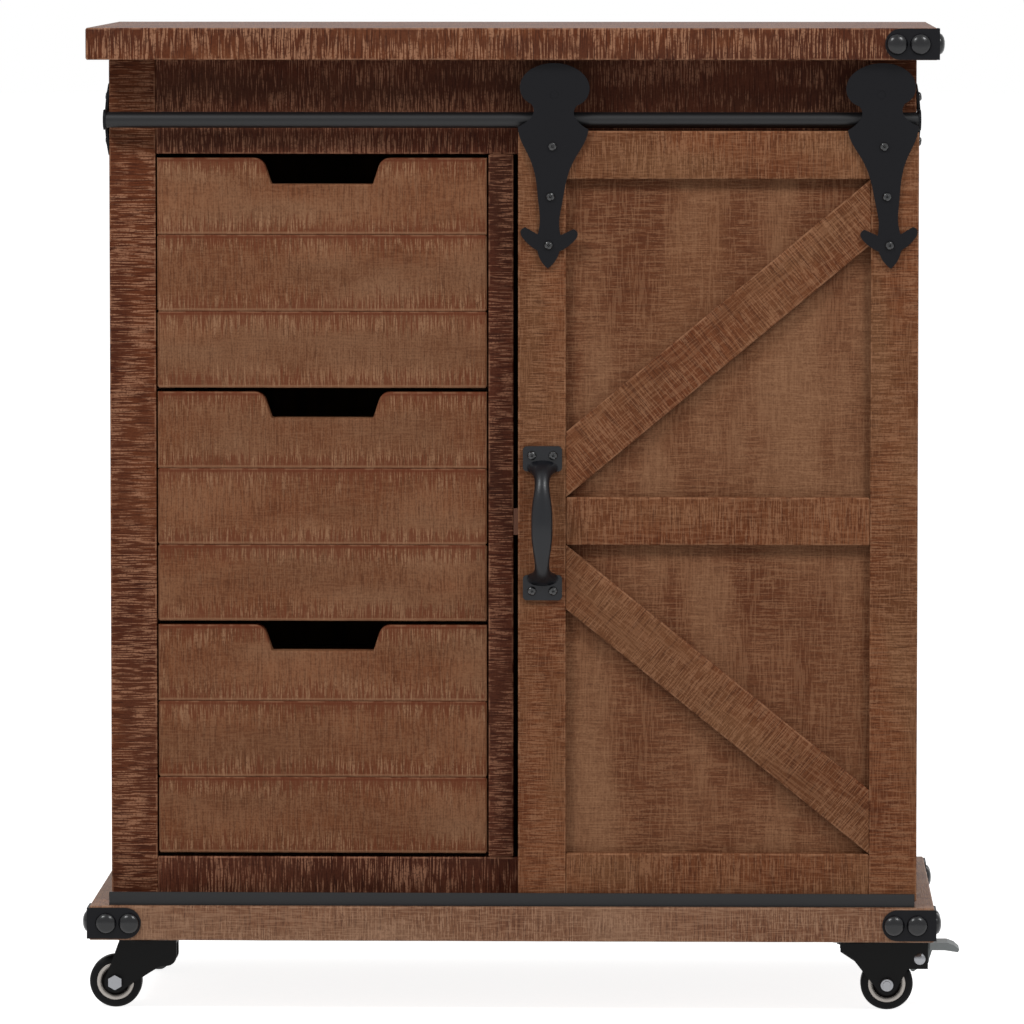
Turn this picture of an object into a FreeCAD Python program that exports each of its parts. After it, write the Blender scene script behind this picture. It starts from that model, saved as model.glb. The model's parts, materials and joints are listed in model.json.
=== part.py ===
import FreeCAD, Part
import math
import os

from FreeCAD import Placement, Rotation, Vector

# A small cabinet on castors: three drawers on the left and, on the right, a shelved compartment
# behind a door that hangs from two grooved rollers on a round rail.
# Millimetres. X runs to the right, Y to the back and Z up from the floor. The model is built with
# the middle of the boards at X = Y = 0, and moved at the end so that the origin lies on the floor
# under the middle of the whole object.

# ---- The two boards and the body between them ----
board_length = 640.0
board_depth = 335.0
top_thickness = 24.0
base_thickness = 26.0
castor_height = 57.0
body_height = 640.0
side_setback = 15.0
front_setback = 34.0
back_setback = 10.0
edge_ease = 0.8

side_thickness = 18.0
partition_thickness = 18.0
back_panel_thickness = 6.0
back_panel_reveal = 2.0
floor_panel_thickness = 15.0
shelf_thickness = 20.0
shelf_share = 0.4375

# ---- Face frame ----
frame_thickness = 18.0
outer_stile_width = 35.0
centre_stile_width = 19.0
centre_stile_right = 1.0
top_rail_height = 71.5
bottom_rail_height = 34.0

# ---- Drawers ----
drawer_count = 3
plank_count = 3
drawer_gap = 3.0
drawer_side_gap = 1.2
drawer_front_thickness = 18.0
plank_ease = 1.2
notch_top_width = 90.0
notch_bottom_width = 77.0
notch_depth = 20.0
notch_shoulder_radius = 9.0
notch_foot_radius = 1.5
drawer_wall_thickness = 12.0
drawer_wall_drop = 39.2
drawer_wall_lift = 10.0
drawer_back_gap = 15.0
drawer_box_clearance = 3.0
drawer_bottom_thickness = 5.0
drawer_groove_depth = 5.0
drawer_groove_lift = 8.0
drawer_travel_share = 0.8

# ---- Drawer runners ----
runner_height = 12.0
runner_reach = 10.0
runner_guide_height = 12.0
sliding_clearance = 0.3
fit_clearance = 0.1

# ---- Sliding door ----
door_stile_gap = 4.0
door_overlap = 1.5
door_thickness = 20.0
door_front_setback = 10.0
door_lift = 4.0
door_member_width = 36.0
door_middle_share = 0.495
door_panel_recess = 8.0
door_panel_thickness = 8.0
door_panel_tongue = 6.0
brace_width = 37.8
door_stop_inset = 12.0

# ---- Rail and its two bow-shaped end brackets ----
rail_drop = 45.5
rail_radius = 6.0
rail_above_door = 2.0
rail_end_gap = 0.25
bow_rise = 3.2
bow_chord = 58.0
bow_thickness = 2.0
bow_trim = 2.0
bow_front_margin = 7.0
bow_back_reach = 40.0
bow_tongue_half_height = 7.6
bow_tongue_radius = 6.5
bow_screw_offset = 17.0
bow_screw_inset = 24.0

# ---- Hangers: arrow-shaped straps, axles and grooved rollers ----
strap_thickness = 3.0
strap_reach = 130.7
left_hanger_inset = 27.4
right_hanger_inset = 28.5
left_hanger_lean = 2.2
right_hanger_lean = -3.3
roller_groove_radius = 13.0
roller_flange_radius = 16.5
roller_width = 15.0
axle_radius = 3.0
running_clearance = 0.05
axle_collar_radius = 6.0
axle_head_height = 2.5
strap_screw_shares = (0.297, 0.586, 0.866)

# ---- Pull handle of the door ----
handle_length = 116.5
handle_inset = 18.5
handle_share = 0.4924
handle_plate_width = 29.5
handle_plate_height = 19.0
handle_plate_thickness = 3.0
handle_plate_corner = 3.0
handle_projection = 28.0
handle_screw_spacing = 16.0
handle_screw_inset = 7.0
handle_root_width = 27.0
handle_root_thickness = 11.5
handle_root_inset = 15.8
handle_flare_width = 16.0
handle_flare_thickness = 10.0
handle_flare_shift = 3.5
handle_flare_out = 9.0
handle_neck_width = 11.0
handle_neck_thickness = 8.0
handle_neck_shift = 11.0
handle_neck_out = 17.5
handle_grip_width = 16.0
handle_grip_thickness = 9.5
handle_bend_width = 14.0
handle_bend_thickness = 8.5
handle_bend_shift = 25.0
handle_bend_drop = 1.3
handle_tilts = (0.0, 22.0, 52.0, 80.0)

# ---- Floor guide of the door ----
guide_height = 10.0
guide_back_height = 5.0
guide_sheet = 1.5
guide_side_gap = 2.0
guide_screw_count = 4
guide_screw_end_inset = 60.0

# ---- Fasteners ----
screw_head_radius = 3.5
screw_head_height = 2.2
screw_shank_radius = 1.6
screw_length = 14.0
countersink_radius = 3.0
base_screw_shank_radius = 2.0
base_screw_head_radius = 4.0
base_screw_head_depth = 3.0
base_screw_length = 44.0
base_screw_spacing = 70.0
base_screw_count = 3
base_screw_back_shift = 10.0

# ---- Steel corner brackets with domed nails ----
corner_leg = 39.5
corner_height = 23.5
corner_sheet = 1.5
nail_head_radius = 8.0
nail_head_height = 4.0
nail_shank_radius = 1.2
nail_length = 11.0
nail_first = 13.0
nail_second = 30.5

# ---- Castors ----
castor_depth_inset = 50.0
castor_side_inset = 39.0
front_right_castor_inset = 57.0
castor_plate_side = 46.0
castor_plate_thickness = 2.0
castor_plate_corner = 4.0
castor_screw_spacing = 34.0
castor_race_radius = 14.0
castor_race_depth = 2.7
kingpin_radius = 4.0
kingpin_head_radius = 6.5
kingpin_head_height = 2.0
fork_sheet = 2.0
fork_crown_radius = 16.0
fork_inner_width = 21.0
fork_back_reach = 25.0
fork_back_height = 32.4
fork_back_radius = 8.0
fork_heel_reach = 12.5
fork_brow_reach = 18.8
castor_trail = 22.0
wheel_radius = 20.0
wheel_width = 17.0
tyre_thickness = 5.5
tyre_ease = 2.5
hub_dish_radius = 12.0
hub_dish_depth = 3.0
hub_boss_radius = 6.0
fork_eye_radius = 8.0
castor_axle_radius = 3.0
axle_hex_flats = 10.0
axle_hex_height = 4.0
axle_nut_radius = 4.9
axle_nut_height = 3.5
axle_thread_end = 1.0

# ---- Brake of a castor: its longer fork and its pedal ----
brake_fork_back_reach = 13.4
brake_fork_shoulder_height = 45.0
brake_fork_waist_reach = 2.5
brake_fork_waist_height = 37.8
brake_fork_chin_reach = 5.2
brake_fork_chin_height = 27.8
brake_fork_elbow_reach = 38.0
brake_fork_ear = 6.2
brake_fork_ear_drop = 7.6
brake_fork_elbow_radius = 2.0
pedal_pivot_reach = 47.0
pedal_pivot_height = 39.6
pedal_pin_radius = 2.5
pedal_rivet_radius = 4.3
pedal_rivet_height = 1.5
pedal_side_gap = 0.3
pedal_cam_radius = 7.2
pedal_nose_radius = 2.0
pedal_nose_gap = 0.5
pedal_reach = 77.0
pedal_shelf_reach = 54.5
pedal_shelf_thickness = 5.8
pedal_lip_length = 11.0
pedal_lip_drop = 7.3
pedal_tread_overhang = 3.0
pedal_press_angle = 18.0

# ---- Places worked out from the sizes above ----
board_front = -board_depth / 2
board_back = board_depth / 2
base_bottom = castor_height
base_top = base_bottom + base_thickness
body_top = base_top + body_height
overall_height = body_top + top_thickness

body_width = board_length - 2 * side_setback
body_left = -body_width / 2
body_right = body_width / 2
body_front = board_front + front_setback
body_back = board_back - back_setback
frame_back = body_front + frame_thickness
side_inner_left = body_left + side_thickness
side_inner_right = body_right - side_thickness
back_panel_back = body_back - back_panel_reveal
back_panel_front = back_panel_back - back_panel_thickness
shelf_bottom = base_top + body_height * shelf_share
shelf_top = shelf_bottom + shelf_thickness

stile_inner_left = body_left + outer_stile_width
stile_inner_right = body_right - outer_stile_width
centre_stile_left = centre_stile_right - centre_stile_width
partition_left = centre_stile_right - partition_thickness
opening_bottom = base_top + bottom_rail_height
opening_top = body_top - top_rail_height

drawer_front_height = (opening_top - opening_bottom - (drawer_count + 1) * drawer_gap) / drawer_count
drawer_front_back = body_front + drawer_front_thickness
drawer_wall_height = drawer_front_height - drawer_wall_lift - drawer_wall_drop
drawer_box_left = stile_inner_left + drawer_box_clearance
drawer_box_right = centre_stile_left - drawer_box_clearance
drawer_box_length = back_panel_front - drawer_back_gap - drawer_front_back
drawer_travel = drawer_box_length * drawer_travel_share

rail_z = body_top - rail_drop
door_left = centre_stile_right + door_stile_gap
door_right = body_right + door_overlap
door_front = board_front + door_front_setback
door_back = door_front + door_thickness
door_middle_y = (door_front + door_back) / 2
door_bottom = base_top + door_lift
door_top = rail_z - rail_radius - rail_above_door
door_height = door_top - door_bottom
door_travel = door_left - body_left - door_stop_inset
panel_left = door_left + door_member_width
panel_right = door_right - door_member_width
panel_bottom = door_bottom + door_member_width
panel_top = door_top - door_member_width
panel_front = door_front + door_panel_recess
middle_rail_bottom = door_bottom + door_height * door_middle_share - door_member_width / 2
middle_rail_top = middle_rail_bottom + door_member_width

axle_z = rail_z + rail_radius + sliding_clearance + roller_groove_radius
left_hanger_x = door_left + left_hanger_inset
right_hanger_x = door_right - right_hanger_inset
strap_front = door_front - strap_thickness
roller_front = door_middle_y - roller_width / 2
roller_back = door_middle_y + roller_width / 2

handle_x = door_left + handle_inset
handle_z = door_bottom + door_height * handle_share
handle_plate_front = door_front - handle_plate_thickness

front_castor_y = board_front + castor_depth_inset
back_castor_y = board_back - castor_depth_inset
left_castor_x = -board_length / 2 + castor_side_inset
right_castor_x = board_length / 2 - castor_side_inset
front_right_castor_x = board_length / 2 - front_right_castor_inset
fork_top = base_bottom - castor_plate_thickness - castor_race_depth - sliding_clearance
fork_outer_half = fork_inner_width / 2 + fork_sheet
pedal_top = fork_top + sliding_clearance

reach_left = -board_length / 2 - corner_sheet - nail_head_height
reach_right = front_right_castor_x + pedal_reach
reach_front = door_front - handle_projection
reach_back = board_back + corner_sheet + nail_head_height
origin_x = (reach_left + reach_right) / 2
origin_y = (reach_front + reach_back) / 2

X_AXIS = Vector(1, 0, 0)
Y_AXIS = Vector(0, 1, 0)
Z_AXIS = Vector(0, 0, 1)
FRONT = Vector(0, -1, 0)
DOWN = Vector(0, 0, -1)


# ---- Shape helpers ----
def box(x0, x1, y0, y1, z0, z1):
    return Part.makeBox(x1 - x0, y1 - y0, z1 - z0, Vector(x0, y0, z0))


def eased_box(x0, x1, y0, y1, z0, z1, ease=edge_ease):
    plain = box(x0, x1, y0, y1, z0, z1)
    return plain.makeFillet(ease, plain.Edges)


def cylinder(start, direction, radius, length):
    return Part.makeCylinder(radius, length, start, direction)


def plate_from_outline(edges, y0, y1):
    """A flat plate whose outline is drawn in the XZ plane, from y0 to y1."""
    wire = Part.Wire(Part.__sortEdges__(edges))
    face = Part.Face(wire)
    plate = face.extrude(Vector(0, y1 - y0, 0))
    plate.translate(Vector(0, y0, 0))
    return plate


def polygon_plate(points, y0, y1):
    corners = [Vector(x, 0, z) for x, z in points]
    edges = [Part.makeLine(a, b) for a, b in zip(corners, corners[1:] + corners[:1])]
    return plate_from_outline(edges, y0, y1)


def curve_through(points):
    """A straight edge through two points of the XZ plane, or a smooth curve through more."""
    places = [Vector(x, 0, z) for x, z in points]
    if len(places) == 2:
        return Part.makeLine(places[0], places[1])
    curve = Part.BSplineCurve()
    curve.interpolate(places)
    return curve.toShape()


def fused(first, *others):
    return first.fuse(list(others)).removeSplitter()


def drilled(piece, holes):
    """The piece with those of the holes that reach it."""
    near = [hole for hole in holes if piece.BoundBox.intersect(hole.BoundBox)]
    return piece.cut(near) if near else piece


def rounded_along(piece, direction, places, radius):
    """Rounds the edges that run along direction through the given (x, z) places."""
    chosen = []
    for edge in piece.Edges:
        start, end = edge.Vertexes[0].Point, edge.Vertexes[-1].Point
        run = end - start
        if run.Length < 1e-6 or run.cross(direction).Length > 1e-6 * run.Length:
            continue
        if any(math.hypot(start.x - x, start.z - z) < 1e-3 for x, z in places):
            chosen.append(edge)
    return piece.makeFillet(radius, chosen)


# ---- Fasteners: seat is the point on the clamped face, outward its normal ----
def dome(seat, outward, radius, height):
    ball_radius = (radius ** 2 + height ** 2) / (2 * height)
    ball = Part.makeSphere(ball_radius, seat - outward * (ball_radius - height))
    return ball.common(cylinder(seat, outward, radius + 1, height + 1))


def domed_fastener(seat, outward, head_radius, head_height, shank_radius, length):
    shank = cylinder(seat - outward * length, outward, shank_radius, length + head_height / 2)
    return fused(dome(seat, outward, head_radius, head_height), shank)


def pan_screw(seat, outward):
    return domed_fastener(
        seat, outward, screw_head_radius, screw_head_height, screw_shank_radius, screw_length
    )


def countersunk_screw(seat, outward, head_radius, head_depth, shank_radius, length):
    head = Part.makeCone(shank_radius, head_radius, head_depth, seat - outward * head_depth, outward)
    shank = cylinder(seat - outward * length, outward, shank_radius, length - head_depth)
    return fused(head, shank)


def pilot(seat, outward, shank_radius, length):
    """The hole that a shank of this size sits in."""
    start = seat - outward * (length + fit_clearance)
    return cylinder(start, outward, shank_radius + fit_clearance, length + 2 * fit_clearance)


def countersink(seat, outward, head_radius, head_depth, shank_radius):
    return Part.makeCone(
        shank_radius + fit_clearance,
        head_radius + fit_clearance,
        head_depth,
        seat - outward * head_depth,
        outward,
    )


# ---- Steel corner brackets ----
def corner_at(side_x, side_y, height):
    return Vector(side_x * board_length / 2, side_y * board_depth / 2, height)


def corner_placement(corner, turn):
    return Placement(corner, Rotation(Z_AXIS, turn))


def corner_bracket(place):
    """Two straps with round ends, meeting at a corner that faces right and front."""
    round_radius = corner_height / 2
    straight = corner_leg - round_radius
    front_leg = box(-straight, corner_sheet, -corner_sheet, 0, 0, corner_height)
    front_end = cylinder(Vector(-straight, 0, round_radius), FRONT, round_radius, corner_sheet)
    side_leg = box(0, corner_sheet, -corner_sheet, straight, 0, corner_height)
    side_end = cylinder(Vector(0, straight, round_radius), X_AXIS, round_radius, corner_sheet)
    bracket = fused(front_leg, front_end, side_leg, side_end)
    bracket.Placement = place
    return bracket


def nail_seats(place):
    seats = []
    for reach in (nail_first, nail_second):
        seats.append((Vector(-reach, -corner_sheet, corner_height / 2), FRONT))
        seats.append((Vector(corner_sheet, reach, corner_height / 2), X_AXIS))
    turn = place.Rotation
    return [(place.multVec(seat), turn.multVec(outward)) for seat, outward in seats]


base_bracket_z = base_bottom + (base_thickness - corner_height) / 2
top_bracket_z = body_top + (top_thickness - corner_height) / 2
corner_places = [
    corner_placement(corner_at(1, -1, base_bracket_z), 0),
    corner_placement(corner_at(1, 1, base_bracket_z), 90),
    corner_placement(corner_at(-1, 1, base_bracket_z), 180),
    corner_placement(corner_at(-1, -1, base_bracket_z), 270),
    corner_placement(corner_at(1, -1, top_bracket_z), 0),
]
all_nail_seats = [seat for place in corner_places for seat in nail_seats(place)]
nail_holes = [pilot(s, n, nail_shank_radius, nail_length) for s, n in all_nail_seats]


def make_corner_brackets():
    return [drilled(corner_bracket(place), nail_holes) for place in corner_places]


def make_corner_nails():
    return [
        domed_fastener(s, n, nail_head_radius, nail_head_height, nail_shank_radius, nail_length)
        for s, n in all_nail_seats
    ]


# ---- Places of the castors: name, swivel axis, heading of the trailing wheel, brake ----
castor_places = {
    "front_left": (left_castor_x, front_castor_y, 180, False),
    "front_right": (front_right_castor_x, front_castor_y, 0, True),
    "back_left": (left_castor_x, back_castor_y, 250, True),
    "back_right": (right_castor_x, back_castor_y, 0, False),
}

castor_screw_seats = []
for swivel_x, swivel_y, heading, braked in castor_places.values():
    for step_x in (-castor_screw_spacing / 2, castor_screw_spacing / 2):
        for step_y in (-castor_screw_spacing / 2, castor_screw_spacing / 2):
            seat = Vector(swivel_x + step_x, swivel_y + step_y, base_bottom - castor_plate_thickness)
            castor_screw_seats.append((seat, DOWN))
castor_screw_holes = [
    pilot(s, n, screw_shank_radius, screw_length) for s, n in castor_screw_seats
]

# ---- Screws from under the base board into the side panels ----
base_screw_seats = []
for panel_x in (body_left + side_thickness / 2, body_right - side_thickness / 2):
    for step in range(base_screw_count):
        along = (step - (base_screw_count - 1) / 2) * base_screw_spacing + base_screw_back_shift
        base_screw_seats.append((Vector(panel_x, along, base_bottom), DOWN))
base_screw_holes = []
for seat, outward in base_screw_seats:
    base_screw_holes.append(pilot(seat, outward, base_screw_shank_radius, base_screw_length))
    base_screw_holes.append(
        countersink(
            seat, outward, base_screw_head_radius, base_screw_head_depth, base_screw_shank_radius
        )
    )

# ---- Screws that hold the floor guide ----
guide_floor = base_top + guide_sheet
guide_screw_seats = []
guide_run = body_width - 2 * guide_screw_end_inset
for step in range(guide_screw_count):
    along = body_left + guide_screw_end_inset + step * guide_run / (guide_screw_count - 1)
    guide_screw_seats.append((Vector(along, door_middle_y, guide_floor), Z_AXIS))
guide_screw_holes = []
for seat, outward in guide_screw_seats:
    guide_screw_holes.append(pilot(seat, outward, screw_shank_radius, screw_length))
    guide_screw_holes.append(
        countersink(seat, outward, countersink_radius, guide_sheet, screw_shank_radius)
    )

# ---- Rail end brackets: a strap bowed outwards, held by two screws on each side panel ----
bow_radius = ((bow_chord / 2) ** 2 + bow_rise ** 2) / (2 * bow_rise)
bow_front = door_front + bow_front_margin / 2
bow_back = body_front + bow_back_reach
bow_screw_y = body_front + bow_screw_inset
bow_centres = {
    -1: Vector(body_left - bow_rise + bow_radius, 0, rail_z),
    1: Vector(body_right + bow_rise - bow_radius, 0, rail_z),
}


def rail_bracket(side):
    """The bowed strap, with a narrower round tongue that reaches forward to carry the rail."""
    centre = bow_centres[side]
    start = Vector(centre.x, bow_front, centre.z)
    depth = bow_back - bow_front
    outer = cylinder(start, Y_AXIS, bow_radius, depth)
    inner = cylinder(start, Y_AXIS, bow_radius - bow_thickness, depth)
    half_height = bow_chord / 2 - bow_trim
    face_x = side * body_width / 2
    far_x = face_x + side * 2 * bow_rise
    low_x, high_x = min(face_x, far_x), max(face_x, far_x)
    wide = box(low_x, high_x, body_front, bow_back, rail_z - half_height, rail_z + half_height)
    tongue = box(
        low_x, high_x, bow_front, body_front,
        rail_z - bow_tongue_half_height, rail_z + bow_tongue_half_height,
    )
    nose_edges = [
        e for e in tongue.Edges if abs(e.CenterOfMass.y - bow_front) < 0.1 and abs(e.tangentAt(0).x) > 0.9
    ]
    tongue = tongue.makeFillet(bow_tongue_radius, nose_edges)
    strap = outer.cut(inner).common(fused(wide, tongue))
    rail_hole = cylinder(
        Vector(face_x - side, door_middle_y, rail_z), X_AXIS * side,
        rail_radius + fit_clearance, 2 * bow_rise,
    )
    return strap.cut(rail_hole)


def bow_screw_seats(side):
    """Two seats on the bowed strap, each square to its outer face."""
    angle = math.asin(bow_screw_offset / bow_radius)
    seats = []
    for up in (-1, 1):
        outward = Vector(side * math.cos(angle), 0, up * math.sin(angle))
        seat = bow_centres[side] + outward * bow_radius
        seats.append((Vector(seat.x, bow_screw_y, seat.z), outward))
    return seats


rail_screw_seats = bow_screw_seats(-1) + bow_screw_seats(1)
rail_screw_holes = [pilot(s, n, screw_shank_radius, screw_length) for s, n in rail_screw_seats]


# ---- Body ----
def make_top_board():
    board = eased_box(
        -board_length / 2, board_length / 2, board_front, board_back, body_top, overall_height
    )
    return drilled(board, nail_holes)


def make_base_board():
    board = eased_box(
        -board_length / 2, board_length / 2, board_front, board_back, base_bottom, base_top
    )
    return drilled(
        board, nail_holes + castor_screw_holes + base_screw_holes + guide_screw_holes
    )


def make_side_panel(x0, x1):
    panel = box(x0, x1, frame_back, body_back, base_top, body_top)
    return drilled(panel, base_screw_holes + rail_screw_holes)


def make_floor_panel():
    return box(
        side_inner_left, side_inner_right, frame_back, back_panel_front,
        opening_bottom - floor_panel_thickness, opening_bottom,
    )


def make_partition():
    return box(
        partition_left, centre_stile_right, frame_back, back_panel_front, opening_bottom, body_top
    )


def make_back_panel():
    return box(
        side_inner_left, side_inner_right, back_panel_front, back_panel_back, base_top, body_top
    )


def make_shelf():
    """The shelf runs behind the right stile to the side panel, and its front edge lies in the frame."""
    wide = box(
        centre_stile_right, side_inner_right, frame_back, back_panel_front, shelf_bottom, shelf_top
    )
    lip = box(
        centre_stile_right, stile_inner_right, body_front, frame_back, shelf_bottom, shelf_top
    )
    return fused(wide, lip)


def make_stile(x0, x1, z0, z1):
    return eased_box(x0, x1, body_front, frame_back, z0, z1)


def make_runners():
    """Two runners for each drawer: a bearer under the box wall and a guide beside it."""
    runners = []
    for index in range(drawer_count):
        wall_bottom = drawer_bottom_z(index) + drawer_wall_lift
        bearer_top = wall_bottom - sliding_clearance
        low = bearer_top - runner_height
        guide_top = bearer_top + runner_guide_height
        for panel_x, wall_x, inward in (
            (side_inner_left, drawer_box_left, 1),
            (partition_left, drawer_box_right, -1),
        ):
            bearer_end = wall_x + inward * runner_reach
            guide_end = wall_x - inward * sliding_clearance
            bearer = box(
                min(panel_x, bearer_end), max(panel_x, bearer_end),
                frame_back, back_panel_front, low, bearer_top,
            )
            guide = box(
                min(panel_x, guide_end), max(panel_x, guide_end),
                frame_back, back_panel_front, low, guide_top,
            )
            runners.append(fused(bearer, guide))
    return runners


# ---- Drawers, counted from the top ----
def drawer_bottom_z(index):
    below = drawer_count - 1 - index
    return opening_bottom + drawer_gap + below * (drawer_front_height + drawer_gap)


def drawer_planks(index):
    """The front is made of planks, and the top one has the hand notch."""
    left = stile_inner_left + drawer_side_gap
    right = centre_stile_left - drawer_side_gap
    middle = (left + right) / 2
    plank_height = drawer_front_height / plank_count
    bottom = drawer_bottom_z(index)
    planks = [
        eased_box(
            left, right, body_front, drawer_front_back,
            bottom + step * plank_height, bottom + (step + 1) * plank_height, plank_ease,
        )
        for step in range(plank_count)
    ]
    top = bottom + drawer_front_height
    foot = top - notch_depth
    slope = (notch_top_width - notch_bottom_width) / 2 / notch_depth
    above = plank_height
    over = notch_top_width / 2 + slope * above
    cutter = polygon_plate(
        [
            (middle - notch_bottom_width / 2, foot),
            (middle + notch_bottom_width / 2, foot),
            (middle + over, top + above),
            (middle - over, top + above),
        ],
        body_front - 1,
        drawer_front_back + 1,
    )
    cutter = rounded_along(
        cutter, Y_AXIS,
        [(middle - notch_bottom_width / 2, foot), (middle + notch_bottom_width / 2, foot)],
        notch_foot_radius,
    )
    planks[-1] = planks[-1].cut(cutter).cut(notch_shoulder_cutters(middle, top, slope))
    return planks


def notch_shoulder_cutters(middle, top, slope):
    """What a round nose takes off the two corners where the notch meets the plank's top edge."""
    side_angle = math.atan2(1, slope)
    tangent = notch_shoulder_radius / math.tan((math.pi - side_angle) / 2)
    cutters = []
    for side in (-1, 1):
        corner = Vector(middle + side * notch_top_width / 2, 0, top)
        along_top = Vector(side, 0, 0)
        down_side = Vector(-side * slope, 0, -1).normalize()
        start = corner + along_top * tangent
        end = corner + down_side * tangent
        centre = Vector(start.x, 0, top - notch_shoulder_radius)
        halfway = (start + end) * 0.5 - centre
        touch = centre + halfway.normalize() * notch_shoulder_radius
        edges = [
            Part.Arc(start, touch, end).toShape(),
            Part.makeLine(end, corner + Vector(-side, 0, 1)),
            Part.makeLine(corner + Vector(-side, 0, 1), start + Vector(0, 0, 1)),
            Part.makeLine(start + Vector(0, 0, 1), start),
        ]
        cutters.append(plate_from_outline(edges, body_front - 1, drawer_front_back + 1))
    return cutters


def drawer_bottom_box(index, grow):
    """The thin bottom, or with grow the groove that it slides into."""
    low = drawer_bottom_z(index) + drawer_wall_lift + drawer_groove_lift
    inner_back = drawer_front_back + drawer_box_length - drawer_wall_thickness
    return box(
        drawer_box_left + drawer_wall_thickness - drawer_groove_depth - grow,
        drawer_box_right - drawer_wall_thickness + drawer_groove_depth + grow,
        drawer_front_back, inner_back + drawer_groove_depth + grow,
        low - grow, low + drawer_bottom_thickness + grow,
    )


def drawer_walls(index):
    low = drawer_bottom_z(index) + drawer_wall_lift
    high = low + drawer_wall_height
    back = drawer_front_back + drawer_box_length
    inner_left = drawer_box_left + drawer_wall_thickness
    inner_right = drawer_box_right - drawer_wall_thickness
    groove = drawer_bottom_box(index, fit_clearance)
    walls = [
        box(drawer_box_left, inner_left, drawer_front_back, back, low, high),
        box(inner_right, drawer_box_right, drawer_front_back, back, low, high),
        box(inner_left, inner_right, back - drawer_wall_thickness, back, low, high),
    ]
    return [wall.cut(groove) for wall in walls]


# ---- Hangers ----
def strap_outline():
    """Right half of the strap, from the crown of the head to the point, round the axle at (0, 0).
    The numbers are shares of the reach from the axle to the point."""
    crown = [(0.0, 0.182), (0.097, 0.1645), (0.178, 0.106), (0.201, 0.041)]
    cheek = [(0.201, 0.041), (0.181, -0.021), (0.132, -0.057)]
    neck = [(0.132, -0.057), (0.118, -0.113), (0.149, -0.157), (0.2035, -0.191)]
    taper = [(0.2035, -0.191), (0.191, -0.249), (0.132, -0.363), (0.086, -0.501)]
    taper += [(0.070, -0.612), (0.056, -0.719), (0.066, -0.806)]
    barb_top = [(0.066, -0.806), (0.139, -0.768)]
    barb_tip = [(0.139, -0.768), (0.162, -0.785), (0.156, -0.823)]
    barb_foot = [(0.156, -0.823), (0.111, -0.869), (0.0635, -0.899)]
    point = [(0.0635, -0.899), (0.043, -0.953), (0.0, -1.0)]
    runs = [crown, cheek, neck, taper, barb_top, barb_tip, barb_foot, point]
    return [[(x * strap_reach, z * strap_reach) for x, z in run] for run in runs]


def hanger_strap(hanger_x, lean, holes):
    edges = []
    for run in strap_outline():
        edges.append(curve_through(run))
        edges.append(curve_through([(-x, z) for x, z in run]))
    strap = plate_from_outline(edges, strap_front, door_front)
    axle_hole = cylinder(
        Vector(0, strap_front - 1, 0), Y_AXIS, axle_radius + fit_clearance, strap_thickness + 2
    )
    strap = strap.cut(axle_hole)
    strap.Placement = Placement(Vector(hanger_x, 0, axle_z), Rotation(Y_AXIS, lean))
    return drilled(strap, holes)


def hanger_screw_seats(hanger_x, lean):
    place = Placement(Vector(hanger_x, 0, axle_z), Rotation(Y_AXIS, lean))
    drops = [share * strap_reach for share in strap_screw_shares]
    return [(place.multVec(Vector(0, strap_front, -drop)), FRONT) for drop in drops]


def hanger_axle(hanger_x):
    """Riveted flush in the strap, with a collar in front of the roller and a head behind it."""
    pin_end = roller_back + sliding_clearance + axle_head_height
    pin = cylinder(Vector(hanger_x, strap_front, axle_z), Y_AXIS, axle_radius, pin_end - strap_front)
    collar_end = roller_front - sliding_clearance
    collar = cylinder(
        Vector(hanger_x, door_front, axle_z), Y_AXIS, axle_collar_radius, collar_end - door_front
    )
    head = cylinder(
        Vector(hanger_x, pin_end - axle_head_height, axle_z), Y_AXIS,
        axle_collar_radius, axle_head_height,
    )
    return fused(pin, collar, head)


def hanger_roller(hanger_x):
    """Its groove follows the round rail."""
    start = Vector(hanger_x, roller_front, axle_z)
    blank = cylinder(start, Y_AXIS, roller_flange_radius, roller_width)
    blank = blank.makeFillet(edge_ease, blank.Edges)
    groove_section = rail_radius + sliding_clearance
    groove = Part.makeTorus(
        roller_groove_radius + groove_section, groove_section,
        Vector(hanger_x, door_middle_y, axle_z), Y_AXIS,
    )
    bore = cylinder(start - Y_AXIS, Y_AXIS, axle_radius + running_clearance, roller_width + 2)
    return blank.cut([groove, bore])


# ---- Door ----
def brace_slope(width, height):
    """The slope at which a brace of brace_width fits from corner to corner of a panel."""
    a = width ** 2 - brace_width ** 2
    b = height * width
    c = height ** 2 - brace_width ** 2
    return (b - math.sqrt(b ** 2 - a * c)) / a


def make_brace(low, high, rising):
    width = panel_right - panel_left
    slope = brace_slope(width, high - low)
    rise = slope * width
    if rising:
        points = [(panel_left, low), (panel_right, low + rise), (panel_right, high), (panel_left, high - rise)]
    else:
        points = [(panel_left, high), (panel_right, high - rise), (panel_right, low), (panel_left, low + rise)]
    brace = polygon_plate(points, door_front, panel_front)
    return brace.makeFillet(edge_ease, brace.Edges)


def make_door_panel(grow=0.0):
    reach = door_panel_tongue + grow
    return box(
        panel_left - reach, panel_right + reach,
        panel_front - grow, panel_front + door_panel_thickness + grow,
        panel_bottom - reach, panel_top + reach,
    )


def make_door_member(x0, x1, z0, z1, holes):
    member = eased_box(x0, x1, door_front, door_back, z0, z1)
    return drilled(member.cut(make_door_panel(fit_clearance)), holes)


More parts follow.
